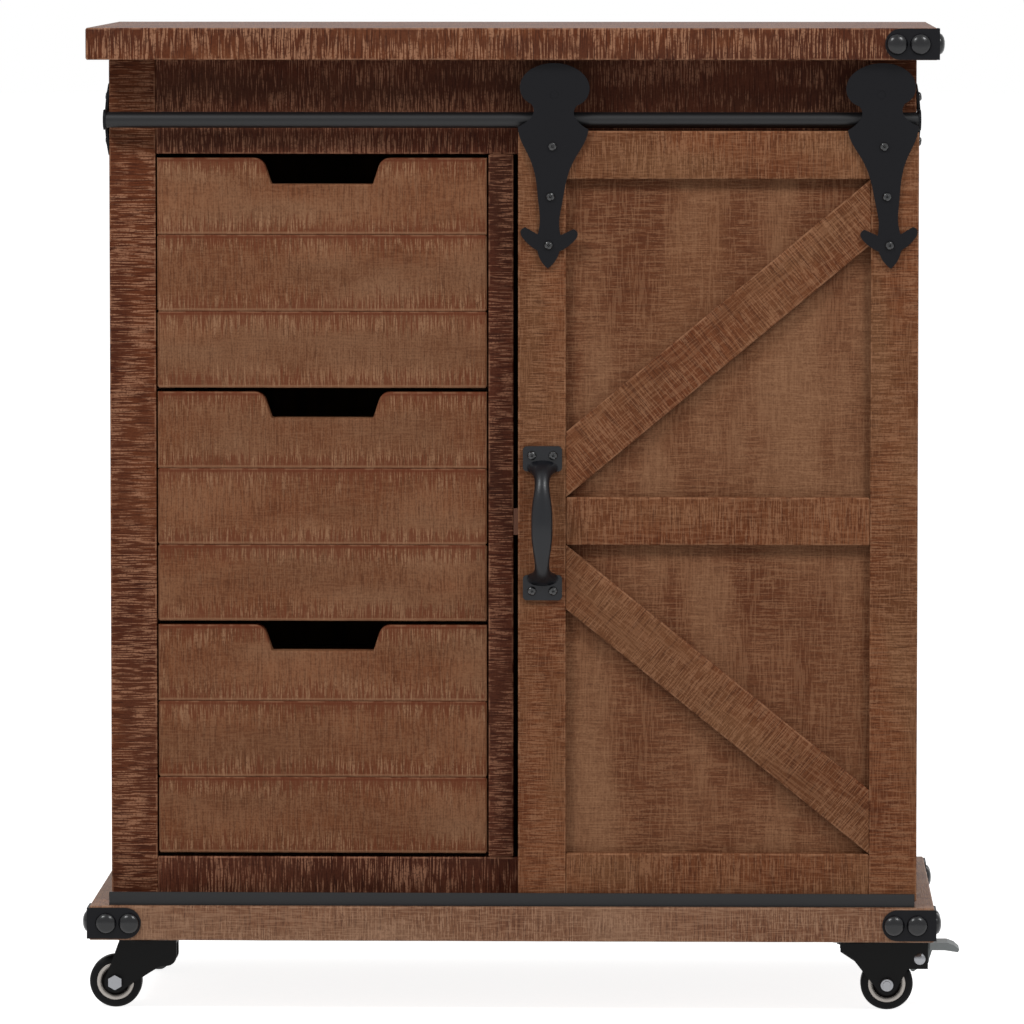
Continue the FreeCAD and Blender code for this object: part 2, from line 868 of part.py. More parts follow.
# ---- Handle ----
def handle_section(drop, out, width, thickness, tilt):
    """An ellipse across the grip, out from the door's face, tilted about the X axis."""
    centre = Vector(handle_x, door_front - out, handle_z + drop)
    across = Vector(1, 0, 0)
    normal = Vector(0, -math.cos(math.radians(tilt)), -math.sin(math.radians(tilt)))
    ellipse = Part.Ellipse(centre + across * (width / 2), centre + across.cross(normal) * (thickness / 2), centre)
    return Part.Wire(ellipse.toShape())


def handle_grip():
    """A loft through ellipses, from a flare on the upper plate to its mirror image on the lower one."""
    root = handle_length / 2 - handle_root_inset
    mid_out = handle_projection - handle_grip_thickness / 2
    root_tilt, flare_tilt, neck_tilt, bend_tilt = handle_tilts
    upper = [
        (0.0, handle_plate_thickness / 2, handle_root_width, handle_root_thickness, root_tilt),
        (handle_flare_shift, handle_flare_out, handle_flare_width, handle_flare_thickness, flare_tilt),
        (handle_neck_shift, handle_neck_out, handle_neck_width, handle_neck_thickness, neck_tilt),
        (
            handle_bend_shift, mid_out - handle_bend_drop,
            handle_bend_width, handle_bend_thickness, bend_tilt,
        ),
    ]
    sections = [(root - shift, out, w, t, tilt) for shift, out, w, t, tilt in upper]
    sections.append((0.0, mid_out, handle_grip_width, handle_grip_thickness, 90.0))
    sections += [(shift - root, out, w, t, 180.0 - tilt) for shift, out, w, t, tilt in upper[::-1]]
    return Part.makeLoft([handle_section(*numbers) for numbers in sections], True, False)


def handle_plate(centre_z):
    plate = box(
        handle_x - handle_plate_width / 2, handle_x + handle_plate_width / 2,
        handle_plate_front, door_front,
        centre_z - handle_plate_height / 2, centre_z + handle_plate_height / 2,
    )
    corners = [e for e in plate.Edges if abs(e.tangentAt(0).y) > 0.9]
    return plate.makeFillet(handle_plate_corner, corners)


handle_plate_offset = (handle_length - handle_plate_height) / 2
handle_screw_seats = []
for plate_side in (-1, 1):
    screw_z = handle_z + plate_side * (handle_length / 2 - handle_screw_inset)
    for step in (-handle_screw_spacing / 2, handle_screw_spacing / 2):
        handle_screw_seats.append((Vector(handle_x + step, handle_plate_front, screw_z), FRONT))
handle_screw_holes = [pilot(s, n, screw_shank_radius, screw_length) for s, n in handle_screw_seats]


def make_handle():
    plates = [handle_plate(handle_z - handle_plate_offset), handle_plate(handle_z + handle_plate_offset)]
    return drilled(fused(handle_grip(), *plates), handle_screw_holes)


# ---- Floor guide ----
def make_guide_channel():
    front = door_front - guide_side_gap - guide_sheet
    back = door_back + guide_side_gap + guide_sheet
    outside = box(body_left, body_right, front, back, base_top, base_top + guide_height)
    inside = box(
        body_left - 1, body_right + 1, front + guide_sheet, back - guide_sheet,
        guide_floor, base_top + guide_height + 1,
    )
    above_back_wall = box(
        body_left - 1, body_right + 1, front + guide_sheet, back + 1,
        base_top + guide_back_height, base_top + guide_height + 1,
    )
    return drilled(outside.cut(fused(inside, above_back_wall)), guide_screw_holes)


# ---- Castors: drawn with the swivel axis at X = Y = 0 and the wheel trailing to +X ----
def tangent_point(x, z, side):
    """Where a line from (x, z) touches the fork's eye, on its left (1) or right (-1)."""
    dx, dz = castor_trail - x, wheel_radius - z
    distance = math.hypot(dx, dz)
    turn = side * math.asin(fork_eye_radius / distance)
    run = math.sqrt(distance ** 2 - fork_eye_radius ** 2)
    heading = math.atan2(dz, dx) + turn
    return x + run * math.cos(heading), z + run * math.sin(heading)


def plain_cheek_outline():
    """The corners of a cheek, and the one that is rounded with its radius."""
    corner = (-fork_back_reach, fork_back_height)
    heel = (-fork_heel_reach, fork_back_height)
    brow = (fork_brow_reach, fork_top)
    outline = [
        (-fork_back_reach, fork_top), corner, heel, tangent_point(*heel, -1),
        (castor_trail, wheel_radius), tangent_point(*brow, 1), brow,
    ]
    return outline, corner, fork_back_radius


def braked_cheek_outline():
    end = pedal_pivot_reach + brake_fork_ear
    low = pedal_pivot_height - brake_fork_ear_drop
    chin = (brake_fork_chin_reach, brake_fork_chin_height)
    elbow = (brake_fork_elbow_reach, low)
    outline = [
        (-brake_fork_back_reach, fork_top),
        (-brake_fork_back_reach, brake_fork_shoulder_height),
        (-brake_fork_waist_reach, brake_fork_waist_height),
        chin, tangent_point(*chin, -1), (castor_trail, wheel_radius), tangent_point(*elbow, 1),
        elbow, (end, low), (end, fork_top),
    ]
    return outline, elbow, brake_fork_elbow_radius


def castor_plate():
    half = castor_plate_side / 2
    low = base_bottom - castor_plate_thickness
    plate = box(-half, half, -half, half, low, base_bottom)
    corners = [e for e in plate.Edges if abs(e.tangentAt(0).z) > 0.9]
    plate = plate.makeFillet(castor_plate_corner, corners)
    race = cylinder(Vector(0, 0, low), DOWN, castor_race_radius, castor_race_depth)
    head_bottom = fork_top - fork_sheet - sliding_clearance - kingpin_head_height
    pin = cylinder(Vector(0, 0, head_bottom), Z_AXIS, kingpin_radius, low - head_bottom)
    head = cylinder(Vector(0, 0, head_bottom), Z_AXIS, kingpin_head_radius, kingpin_head_height)
    return fused(plate, race, pin, head)


def castor_fork(braked):
    outline, corner, corner_radius = braked_cheek_outline() if braked else plain_cheek_outline()
    eye = Vector(castor_trail, 0, wheel_radius)
    pieces = []
    for inner in (fork_inner_width / 2, -fork_outer_half):
        cheek = polygon_plate(outline, inner, inner + fork_sheet)
        cheek = rounded_along(cheek, Y_AXIS, [corner], corner_radius)
        disc = cylinder(eye + Y_AXIS * inner, Y_AXIS, fork_eye_radius, fork_sheet)
        pieces.append(fused(cheek, disc))
    crown_back = outline[0][0]
    crown = box(
        crown_back, fork_crown_radius, -fork_outer_half, fork_outer_half,
        fork_top - fork_sheet, fork_top,
    )
    turntable = cylinder(
        Vector(0, 0, fork_top - fork_sheet), Z_AXIS, fork_crown_radius, fork_sheet
    )
    fork = fused(crown, turntable, *pieces)
    holes = [
        cylinder(Vector(0, 0, 0), Z_AXIS, kingpin_radius + running_clearance, castor_height),
        cylinder(
            eye - Y_AXIS * castor_height, Y_AXIS,
            castor_axle_radius + running_clearance, 2 * castor_height,
        ),
    ]
    if braked:
        pivot = Vector(pedal_pivot_reach, -castor_height, pedal_pivot_height)
        holes.append(cylinder(pivot, Y_AXIS, pedal_pin_radius + fit_clearance, 2 * castor_height))
    return fork.cut(holes)


def castor_axle(braked):
    """Hexagon bolt and round nut, and on a braked castor the pedal's rivet."""
    eye = Vector(castor_trail, 0, wheel_radius)
    corner_radius = axle_hex_flats / math.sqrt(3)
    corners = [
        eye + Vector(
            corner_radius * math.sin(math.radians(60 * step)), fork_outer_half,
            corner_radius * math.cos(math.radians(60 * step)),
        )
        for step in range(6)
    ]
    hexagon = Part.Face(Part.makePolygon(corners + corners[:1])).extrude(Y_AXIS * axle_hex_height)
    shank_length = 2 * fork_outer_half + axle_nut_height + axle_thread_end
    shank = cylinder(eye + Y_AXIS * fork_outer_half, FRONT, castor_axle_radius, shank_length)
    bolt = fused(hexagon, shank)
    nut = cylinder(eye - Y_AXIS * fork_outer_half, FRONT, axle_nut_radius, axle_nut_height)
    nut = nut.makeFillet(edge_ease, nut.Edges)
    nut = nut.cut(
        cylinder(
            eye - Y_AXIS * fork_outer_half, FRONT,
            castor_axle_radius + fit_clearance, axle_nut_height,
        )
    )
    solids = [bolt, nut]
    if braked:
        pivot = Vector(pedal_pivot_reach, -fork_outer_half, pedal_pivot_height)
        pin = cylinder(pivot, Y_AXIS, pedal_pin_radius, 2 * fork_outer_half)
        far = pivot + Y_AXIS * 2 * fork_outer_half
        heads = [
            dome(pivot, FRONT, pedal_rivet_radius, pedal_rivet_height),
            dome(far, Y_AXIS, pedal_rivet_radius, pedal_rivet_height),
        ]
        solids.append(fused(pin, *heads))
    return solids


def castor_wheel():
    """A soft tyre on a hub whose two faces are dished round a boss."""
    centre = Vector(castor_trail, 0, wheel_radius)
    half = wheel_width / 2
    hub_radius = wheel_radius - tyre_thickness
    blank = cylinder(centre - Y_AXIS * half, Y_AXIS, wheel_radius, wheel_width)
    blank = blank.makeFillet(tyre_ease, blank.Edges)
    hub_blank = cylinder(centre - Y_AXIS * half, Y_AXIS, hub_radius, wheel_width)
    tyre = blank.cut(hub_blank)
    dishes = []
    for face in (-1, 1):
        start = centre + Y_AXIS * face * (half - hub_dish_depth)
        dishes.append(cylinder(start, Y_AXIS * face, hub_dish_radius, hub_dish_depth + 1))
    boss_half = fork_inner_width / 2 - sliding_clearance
    boss = cylinder(centre - Y_AXIS * boss_half, Y_AXIS, hub_boss_radius, 2 * boss_half)
    bore = cylinder(
        centre - Y_AXIS * (boss_half + 1), Y_AXIS,
        castor_axle_radius + running_clearance, 2 * boss_half + 2,
    )
    hub = fused(hub_blank.cut(dishes), boss).cut(bore)
    return [tyre, hub]


def brake_pedal():
    """A lever on the fork's rivet, with a nose behind it that closes on the tyre when pressed."""
    pivot = Vector(pedal_pivot_reach, 0, pedal_pivot_height)
    half = fork_inner_width / 2 - pedal_side_gap
    side = Y_AXIS * half
    to_wheel = Vector(castor_trail, 0, wheel_radius) - pivot
    nose_reach = to_wheel.Length - wheel_radius - pedal_nose_gap
    nose_direction = Rotation(Y_AXIS, -pedal_press_angle).multVec(to_wheel.normalize())
    nose = pivot + nose_direction * (nose_reach - pedal_nose_radius)
    cam = cylinder(pivot - side, Y_AXIS, pedal_cam_radius, 2 * half)
    tip = cylinder(nose - side, Y_AXIS, pedal_nose_radius, 2 * half)
    beside = nose_direction.cross(Y_AXIS)
    wide, narrow = beside * (pedal_cam_radius - fork_sheet / 2), beside * pedal_nose_radius
    wedge = [pivot - wide, pivot + wide, nose + narrow, nose - narrow]
    shelf_bottom_z = pedal_top - pedal_shelf_thickness
    arm = [
        (pivot.x - pedal_pin_radius, pivot.z), (pivot.x + pedal_cam_radius, pivot.z),
        (pedal_shelf_reach + fork_sheet, shelf_bottom_z), (pedal_shelf_reach + fork_sheet, pedal_top),
        (pivot.x, pedal_top - fork_sheet),
    ]
    lip = pedal_reach - pedal_lip_length
    tread = [
        (pedal_shelf_reach, shelf_bottom_z), (lip, shelf_bottom_z),
        (pedal_reach - fork_sheet / 2, pedal_top - pedal_lip_drop),
        (pedal_reach, pedal_top - pedal_lip_drop + fork_sheet),
        (pedal_reach - pedal_lip_length / 3, pedal_top - fork_sheet), (lip + fork_sheet, pedal_top),
        (pedal_shelf_reach, pedal_top),
    ]
    tread_half = half + pedal_tread_overhang
    pedal = fused(
        cam, tip, polygon_plate([(p.x, p.z) for p in wedge], -half, half),
        polygon_plate(arm, -half, half), polygon_plate(tread, -tread_half, tread_half),
    )
    hole_start = Vector(pivot.x, -castor_height, pivot.z)
    pin_hole = cylinder(hole_start, Y_AXIS, pedal_pin_radius + running_clearance, 2 * castor_height)
    return pedal.cut(pin_hole)


def placed(shape, swivel_x, swivel_y, heading):
    moved = shape.copy()
    moved.Placement = Placement(Vector(swivel_x, swivel_y, 0), Rotation(Z_AXIS, heading))
    return moved


# ---- Every node and its solids ----
hanger_seats = {
    "left": hanger_screw_seats(left_hanger_x, left_hanger_lean),
    "right": hanger_screw_seats(right_hanger_x, right_hanger_lean),
}
door_screw_seats = hanger_seats["left"] + hanger_seats["right"] + handle_screw_seats
door_screw_holes = [pilot(s, n, screw_shank_radius, screw_length) for s, n in door_screw_seats]

nodes = {}


def keep(name, *solids):
    nodes[name] = list(solids)


def build_body():
    keep("top_board", make_top_board())
    keep("base_board", make_base_board())
    keep("left_side_panel", make_side_panel(body_left, side_inner_left))
    keep("right_side_panel", make_side_panel(side_inner_right, body_right))
    keep("centre_partition", make_partition())
    keep("back_panel", make_back_panel())
    keep("floor_panel", make_floor_panel())
    keep("compartment_shelf", make_shelf())
    keep("left_front_stile", make_stile(body_left, stile_inner_left, base_top, body_top))
    keep("centre_front_stile", make_stile(centre_stile_left, centre_stile_right, opening_bottom, opening_top))
    keep("right_front_stile", make_stile(stile_inner_right, body_right, base_top, body_top))
    keep("top_front_rail", make_stile(stile_inner_left, stile_inner_right, opening_top, body_top))
    keep("bottom_front_rail", make_stile(stile_inner_left, stile_inner_right, base_top, opening_bottom))
    keep("drawer_runners", *make_runners())


def build_hardware():
    rail_length = body_width + 2 * (bow_rise - rail_end_gap)
    rail = cylinder(Vector(-rail_length / 2, door_middle_y, rail_z), X_AXIS, rail_radius, rail_length)
    keep("door_rail", rail)
    keep("rail_brackets", *[drilled(rail_bracket(side), rail_screw_holes) for side in (-1, 1)])
    keep("door_guide_channel", make_guide_channel())
    keep("corner_brackets", *make_corner_brackets())
    keep("corner_nails", *make_corner_nails())
    plates = []
    for swivel_x, swivel_y, heading, braked in castor_places.values():
        plates.append(drilled(placed(castor_plate(), swivel_x, swivel_y, 0), castor_screw_holes))
    keep("castor_plates", *plates)
    screws = [pan_screw(s, n) for s, n in rail_screw_seats + castor_screw_seats]
    screws += [
        countersunk_screw(s, n, countersink_radius, guide_sheet, screw_shank_radius, screw_length)
        for s, n in guide_screw_seats
    ]
    screws += [
        countersunk_screw(
            s, n, base_screw_head_radius, base_screw_head_depth,
            base_screw_shank_radius, base_screw_length,
        )
        for s, n in base_screw_seats
    ]
    keep("cabinet_screws", *screws)


def build_drawers():
    for index in range(drawer_count):
        label = f"drawer_{index + 1}"
        keep(f"{label}_front", *drawer_planks(index))
        keep(f"{label}_walls", *drawer_walls(index))
        keep(f"{label}_bottom", drawer_bottom_box(index, 0.0))


def build_door():
    holes = door_screw_holes
    keep("door_left_stile", make_door_member(door_left, panel_left, door_bottom, door_top, holes))
    keep("door_right_stile", make_door_member(panel_right, door_right, door_bottom, door_top, holes))
    keep("door_top_rail", make_door_member(panel_left, panel_right, panel_top, door_top, holes))
    keep("door_bottom_rail", make_door_member(panel_left, panel_right, door_bottom, panel_bottom, holes))
    middle_rail = eased_box(
        panel_left, panel_right, door_front, panel_front, middle_rail_bottom, middle_rail_top
    )
    keep("door_middle_rail", drilled(middle_rail, holes))
    keep("door_panel", drilled(make_door_panel(), holes))
    keep("door_upper_brace", drilled(make_brace(middle_rail_top, panel_top, True), holes))
    keep("door_lower_brace", drilled(make_brace(panel_bottom, middle_rail_bottom, False), holes))
    keep("left_hanger_strap", hanger_strap(left_hanger_x, left_hanger_lean, holes))
    keep("right_hanger_strap", hanger_strap(right_hanger_x, right_hanger_lean, holes))
    keep("hanger_axles", hanger_axle(left_hanger_x), hanger_axle(right_hanger_x))
    keep("left_roller", hanger_roller(left_hanger_x))
    keep("right_roller", hanger_roller(right_hanger_x))
    keep("door_handle", make_handle())
    keep("door_screws", *[pan_screw(s, n) for s, n in door_screw_seats])


def build_castors():
    for name, (swivel_x, swivel_y, heading, braked) in castor_places.items():
        keep(f"{name}_castor_fork", placed(castor_fork(braked), swivel_x, swivel_y, heading))
        keep(f"{name}_castor_axle", *[placed(s, swivel_x, swivel_y, heading) for s in castor_axle(braked)])
        keep(f"{name}_castor_wheel", *[placed(s, swivel_x, swivel_y, heading) for s in castor_wheel()])
        if braked:
            keep(f"{name}_brake_pedal", placed(brake_pedal(), swivel_x, swivel_y, heading))


def write_nodes():
    os.makedirs("parts", exist_ok=True)
    for name, solids in nodes.items():
        shape = solids[0] if len(solids) == 1 else Part.makeCompound(solids)
        shape = shape.copy()
        shape.translate(Vector(-origin_x, -origin_y, 0))
        shape.exportStep(f"parts/{name}.step")
        if not shape.isValid():
            print("not valid:", name)


build_body()
build_hardware()
build_drawers()
build_door()
build_castors()
write_nodes()
print(len(nodes), "nodes; overall height", overall_height)
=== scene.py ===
# %% [markdown]
# # A rustic cabinet on castors
# The cabinet's pieces were made to size in a CAD program. This script dresses them: it gives the boards
# their worn edges and saw marks, the ironwork its black powder coat, and the screws their cross-shaped
# recesses. Every length is in metres. X runs to the right, Y to the back and Z up.

import json
import math

import bmesh
import bpy
from mathutils import Matrix, Vector, noise


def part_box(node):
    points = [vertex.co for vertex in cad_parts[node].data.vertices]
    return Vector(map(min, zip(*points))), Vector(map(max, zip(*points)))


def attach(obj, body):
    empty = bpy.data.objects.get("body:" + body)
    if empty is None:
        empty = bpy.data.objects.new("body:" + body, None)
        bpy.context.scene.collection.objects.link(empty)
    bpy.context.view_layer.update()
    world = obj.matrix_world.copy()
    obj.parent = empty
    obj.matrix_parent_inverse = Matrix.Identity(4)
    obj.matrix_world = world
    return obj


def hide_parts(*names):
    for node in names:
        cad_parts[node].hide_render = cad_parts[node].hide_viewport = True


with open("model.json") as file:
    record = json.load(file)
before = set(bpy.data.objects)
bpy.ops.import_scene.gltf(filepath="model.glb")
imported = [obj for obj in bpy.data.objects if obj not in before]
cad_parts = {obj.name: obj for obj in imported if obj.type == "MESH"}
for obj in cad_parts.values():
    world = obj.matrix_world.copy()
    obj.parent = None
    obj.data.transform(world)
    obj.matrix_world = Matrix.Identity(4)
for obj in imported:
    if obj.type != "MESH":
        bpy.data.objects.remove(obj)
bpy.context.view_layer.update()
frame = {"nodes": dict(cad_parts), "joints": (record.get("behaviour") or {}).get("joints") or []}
nodes = frame["nodes"]

# %% [markdown]
# ## Camera
# A long lens from about six metres away keeps upright edges nearly parallel. The camera stands a little to
# the right and above the top board, so the top shows as a thin strip. Sideways and in depth it is placed
# from the middle of the top board's front edge, and its height is measured from the floor.

# %% Camera
LENS_MM = 280.8
CAMERA_RIGHT, CAMERA_AWAY, CAMERA_HEIGHT = 0.1544, 6.0, 0.8363
AIM_RIGHT, AIM_HEIGHT = 0.0007, 0.3829
FAR_CLIP = 50.0


def box_of(node):
    low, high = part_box(node)
    return Vector(low), Vector(high)


top_low, top_high = box_of("top_board")
board_middle = (top_low.x + top_high.x) / 2
front_plane = top_low.y
camera_data = bpy.data.cameras.new("camera")
camera_data.lens = LENS_MM
camera_data.clip_end = FAR_CLIP
camera = bpy.data.objects.new("camera", camera_data)
bpy.context.scene.collection.objects.link(camera)
bpy.context.scene.camera = camera
camera.location = (board_middle + CAMERA_RIGHT, front_plane - CAMERA_AWAY, CAMERA_HEIGHT)
aim = Vector((board_middle + AIM_RIGHT, front_plane, AIM_HEIGHT))
camera.rotation_euler = (aim - camera.location).to_track_quat("-Z", "Y").to_euler()
print("camera at", [round(v, 3) for v in camera.location])

# %% [markdown]
# ## Materials from sums and products
# A shader is a graph of small nodes. Placing and joining them one by one hides the idea behind the wiring,
# so `Value` wraps one output socket and turns each sum or product into the maths node that does it.


# %% Shader arithmetic
class Value:
    """One output socket. Arithmetic on it adds maths nodes to the same graph."""

    def __init__(self, graph, socket):
        self.graph = graph
        self.socket = socket

    def maths(self, operation, first, second):
        scalar = all(
            v.socket.type == "VALUE" if isinstance(v, Value) else not isinstance(v, tuple)
            for v in (first, second)
        )
        kind = "ShaderNodeMath" if scalar else "ShaderNodeVectorMath"
        return self.graph.node(kind, {"operation": operation}, {0: first, 1: second})

    def __add__(self, other):
        return self.maths("ADD", self, other)

    def __radd__(self, other):
        return self.maths("ADD", other, self)

    def __sub__(self, other):
        return self.maths("SUBTRACT", self, other)

    def __rsub__(self, other):
        return self.maths("SUBTRACT", other, self)

    def __mul__(self, other):
        return self.maths("MULTIPLY", self, other)

    def __rmul__(self, other):
        return self.maths("MULTIPLY", other, self)

    def least(self, other):
        return self.maths("MINIMUM", self, other)

    def most(self, other):
        return self.maths("MAXIMUM", self, other)

    def size(self):
        return self.graph.node("ShaderNodeVectorMath", {"operation": "ABSOLUTE"}, {0: self})

    def parts(self):
        return [self.graph.node("ShaderNodeSeparateXYZ", {}, {0: self}, output=i) for i in range(3)]

    def ramp(self, low, high, start=0.0, end=1.0):
        """start up to low, end from high on, and a smooth change between them."""
        return self.graph.node(
            "ShaderNodeMapRange", {"interpolation_type": "SMOOTHSTEP"},
            {"Value": self, "From Min": low, "From Max": high, "To Min": start, "To Max": end},
        )


print("a Value knows", ", ".join(name for name in vars(Value) if not name.startswith("_")))

# %% [markdown]
# `Graph` is a material under construction. Its `node` method adds any node: it takes the node's type, its
# settings, and a number, colour or `Value` for each socket. The other methods are short names for the nodes
# that this cabinet's finishes use most.


# %% Materials under construction
class Graph:
    """A material under construction."""

    def __init__(self, name):
        self.material = bpy.data.materials.new(name)
        self.material.use_nodes = True
        self.tree = self.material.node_tree
        self.surface = self.tree.nodes["Principled BSDF"]

    def put(self, socket, value):
        if isinstance(value, Value):
            self.tree.links.new(value.socket, socket)
        elif socket.type in ("VECTOR", "RGBA") and not isinstance(value, tuple):
            socket.default_value = [value] * len(socket.default_value)
        elif socket.type == "RGBA" and len(value) == 3:
            socket.default_value = (*value, 1.0)
        else:
            socket.default_value = value

    def node(self, kind, settings, inputs, output=0):
        made = self.tree.nodes.new(kind)
        for key, value in settings.items():
            setattr(made, key, value)
        for key, value in inputs.items():
            self.put(made.inputs[key], value)
        return Value(self, made.outputs[output])

    def noise(self, place, scale=1.0, detail=2.0, rough=0.5):
        return self.node(
            "ShaderNodeTexNoise", {},
            {"Vector": place, "Scale": scale, "Detail": detail, "Roughness": rough},
        )

    def mix(self, share, first, second, blend="MIX"):
        return self.node(
            "ShaderNodeMix", {"data_type": "RGBA", "blend_type": blend},
            {0: share, 6: first, 7: second}, output=2,
        )

    def tinted(self, colour, factors):
        """The colour with its red, green and blue multiplied by one factor each."""
        return self.mix(1.0, colour, factors, "MULTIPLY")

    def attribute(self, name, output):
        return self.node("ShaderNodeAttribute", {"attribute_name": name}, {}, output=output)

    def object_place(self):
        return self.node("ShaderNodeTexCoord", {}, {}, output="Object")

    def bump(self, height, strength, distance):
        return self.node(
            "ShaderNodeBump", {}, {"Strength": strength, "Distance": distance, "Height": height}
        )

    def finish(self, **inputs):
        for key, value in inputs.items():
            self.put(self.surface.inputs[key.replace("_", " ")], value)
        return self.material


def tone(red, green, blue):
    """A colour picked on screen, 0 to 255, as the linear values that a shader takes."""
    return tuple(
        c / 12.92 if c <= 0.04045 else ((c + 0.055) / 1.055) ** 2.4
        for c in (red / 255, green / 255, blue / 255)
    )


print("a grey of 128 on screen is", round(tone(128, 128, 128)[0], 3), "in a shader")

# %% [markdown]
# ## Rough-sawn, stained wood
# A band saw leaves fine strokes straight across a board's length. The stain sinks into them, and sanding
# takes it off the ridges between, so pale strokes show on a dark ground. A picture of wood would be
# stretched or would repeat, so the marks are noise in each board's own coordinates, with x along its
# length. Three attributes on every vertex carry them: the place on the board, half the board's size, and a
# number that makes it differ from the next board. Each noise that the class below keeps is used more than
# once, so that the marks agree with each other.

# %% A board's own coordinates
MM = 0.001
BOARDS_APART = (7.13, 3.71, 5.37)


class SawnBoard(Graph):
    """The shader of one sawn wood, with a board's coordinates, the gaps to its faces and its noises."""

    def __init__(self, name):
        super().__init__(name)
        self.place = self.attribute("board_place", "Vector")
        self.half = self.attribute("board_half", "Vector")
        self.spot = self.place + self.attribute("board_seed", "Fac") * BOARDS_APART
        self.end_gap, self.face_gap, self.side_gap = (self.half - self.place.size()).parts()
        self.cloud = self.waves(7.0, 24.0, detail=3.0)
        self.patch = self.waves(17.0, 58.0, detail=2.0)
        self.fine = self.waves(1150.0, 60.0)
        self.dash = self.waves(820.0, 52.0, shift=(3.0, 9.0, 5.0))
        self.speck = self.waves(620.0, 620.0)

    def waves(self, along, across, detail=1.0, shift=None):
        """Noise with about so many waves to the metre along the board and across it."""
        spot = self.spot * (along, across, across)
        return self.noise(spot + shift if shift else spot, detail=detail)


print("boards lie", BOARDS_APART, "apart in the noise, for each step of their number")

# %% [markdown]
# The stain is never one brown. It lies in clouds of two tones, drifts slowly from ruddy to tan along a
# board, and collects as dark specks and dark strokes in the deepest marks. Noise keeps near 0.5, so the two
# limits of each ramp there set how much of the board a mark covers and how soft its rim is.


# %% Stain
def stained(g, ground, red, depth):
    """Clouds of two tones, a slow drift from ruddy to tan, dark specks and dark strokes."""
    colour = g.mix(g.cloud.ramp(0.36, 0.64), ground, red)
    drift = g.waves(10.0, 21.0, detail=2.0, shift=(8.0, 2.0, 6.0))
    ruddy = g.tinted(colour, (0.86, 0.79, 0.71))
    tan = g.tinted(colour, (1.12, 1.2, 1.22))
    colour = g.mix(drift.ramp(0.38, 0.62), ruddy, tan)
    colour = g.mix(g.speck.ramp(0.56, 0.4) * 0.4, colour, g.tinted(colour, (0.6, 0.5, 0.45)))
    dark = (g.dash - g.cloud * 0.4 + 0.2).ramp(0.47, 0.35)
    return g.mix(dark * depth, colour, g.tinted(colour, (0.42, 0.34, 0.3)))


print("stain: clouds, drift, specks and dark strokes")

# %% [markdown]
# Sanding bares the wood on the ridges: pale strokes across the board, broken by specks, and on some boards
# pale grain along it. On the drawer fronts the strokes reach in from the joints like the teeth of a comb,
# and fade towards a plank's middle.


# %% Sanded strokes
def sanded(g, colour, pale, cover, scratch, cross, comb):
    """Bare wood on the ridges, in strokes across the board and in grain along it."""
    middle = 0.5 + 0.16 * (1.0 - 2.0 * cover)
    strokes = (g.fine + g.patch * 0.35 - 0.175).ramp(middle - 0.02, middle + 0.09)
    strokes = strokes * g.patch.ramp(0.28, 0.48, 0.3, 1.0)
    power = g.speck.ramp(0.34, 0.5, 0.4, 1.0) * scratch
    if comb:
        near_joint = (g.side_gap + (g.dash - 0.5) * (50 * MM)).ramp(17 * MM, 4 * MM)
        power = power * (near_joint * comb + (1.0 - comb))
    colour = g.mix(strokes * power, colour, pale)
    if cross:
        grain = (g.waves(64.0, 900.0) - g.patch * 0.4 + 0.2).ramp(0.52, 0.64)
        colour = g.mix(grain * cross, colour, pale)
    return colour


print("sanding: pale strokes across, pale grain along")

# %% [markdown]
# Where planks meet, stain runs into the joint and darkens both sides in short teeth. A dark line under a
# plank's top edge is painted shade, as if cast by the plank above, and the lower edge has a pale line. A
# board's ends show end grain instead of strokes, and its edges are rubbed bare in places. The middle one of
# the three gaps to a board's faces is the distance from its nearest edge.


# %% Joints, ends and edges
def jointed(g, colour, pale, red, comb):
    """Stain teeth along a plank's joints, painted shade under its top edge, a pale line at its foot."""
    # This dark tone serves both the stain in the teeth and the painted shade under the top edge.
    stain = g.tinted(red, (0.62, 0.4, 0.34))
    from_top = (g.half - g.place).parts()[2]
    from_foot = (g.half + g.place).parts()[2]
    colour = g.mix((g.dash - g.side_gap * 17.0).ramp(0.36, 0.45) * comb, colour, stain)
    # Painted shade: a dark line under the plank's top edge, as if cast by the plank above.
    colour = g.mix(from_top.ramp(3.6 * MM, 2.2 * MM) * comb, colour, stain)
    return g.mix(from_foot.ramp(2.6 * MM, 1.8 * MM) * comb * 0.7, colour, pale)


def worn(g, colour, ground, pale, red, wear):
    """End grain on the ends, and bare wood in places along the edges."""
    rings = g.noise(g.spot * (90.0, 420.0, 160.0), detail=2.0).ramp(0.4, 0.62)
    colour = g.mix(g.end_gap.ramp(0.9 * MM, 0.4 * MM), colour, g.mix(rings, ground, red))
    edge = g.end_gap.least(g.face_gap).most(g.end_gap.most(g.face_gap).least(g.side_gap))
    rubbed = edge.ramp(1.6 * MM, 0.7 * MM) * g.waves(120.0, 60.0, detail=2.0).ramp(0.42, 0.6)
    return g.mix(rubbed * wear, colour, pale)


print("joints stained, ends and edges worn")
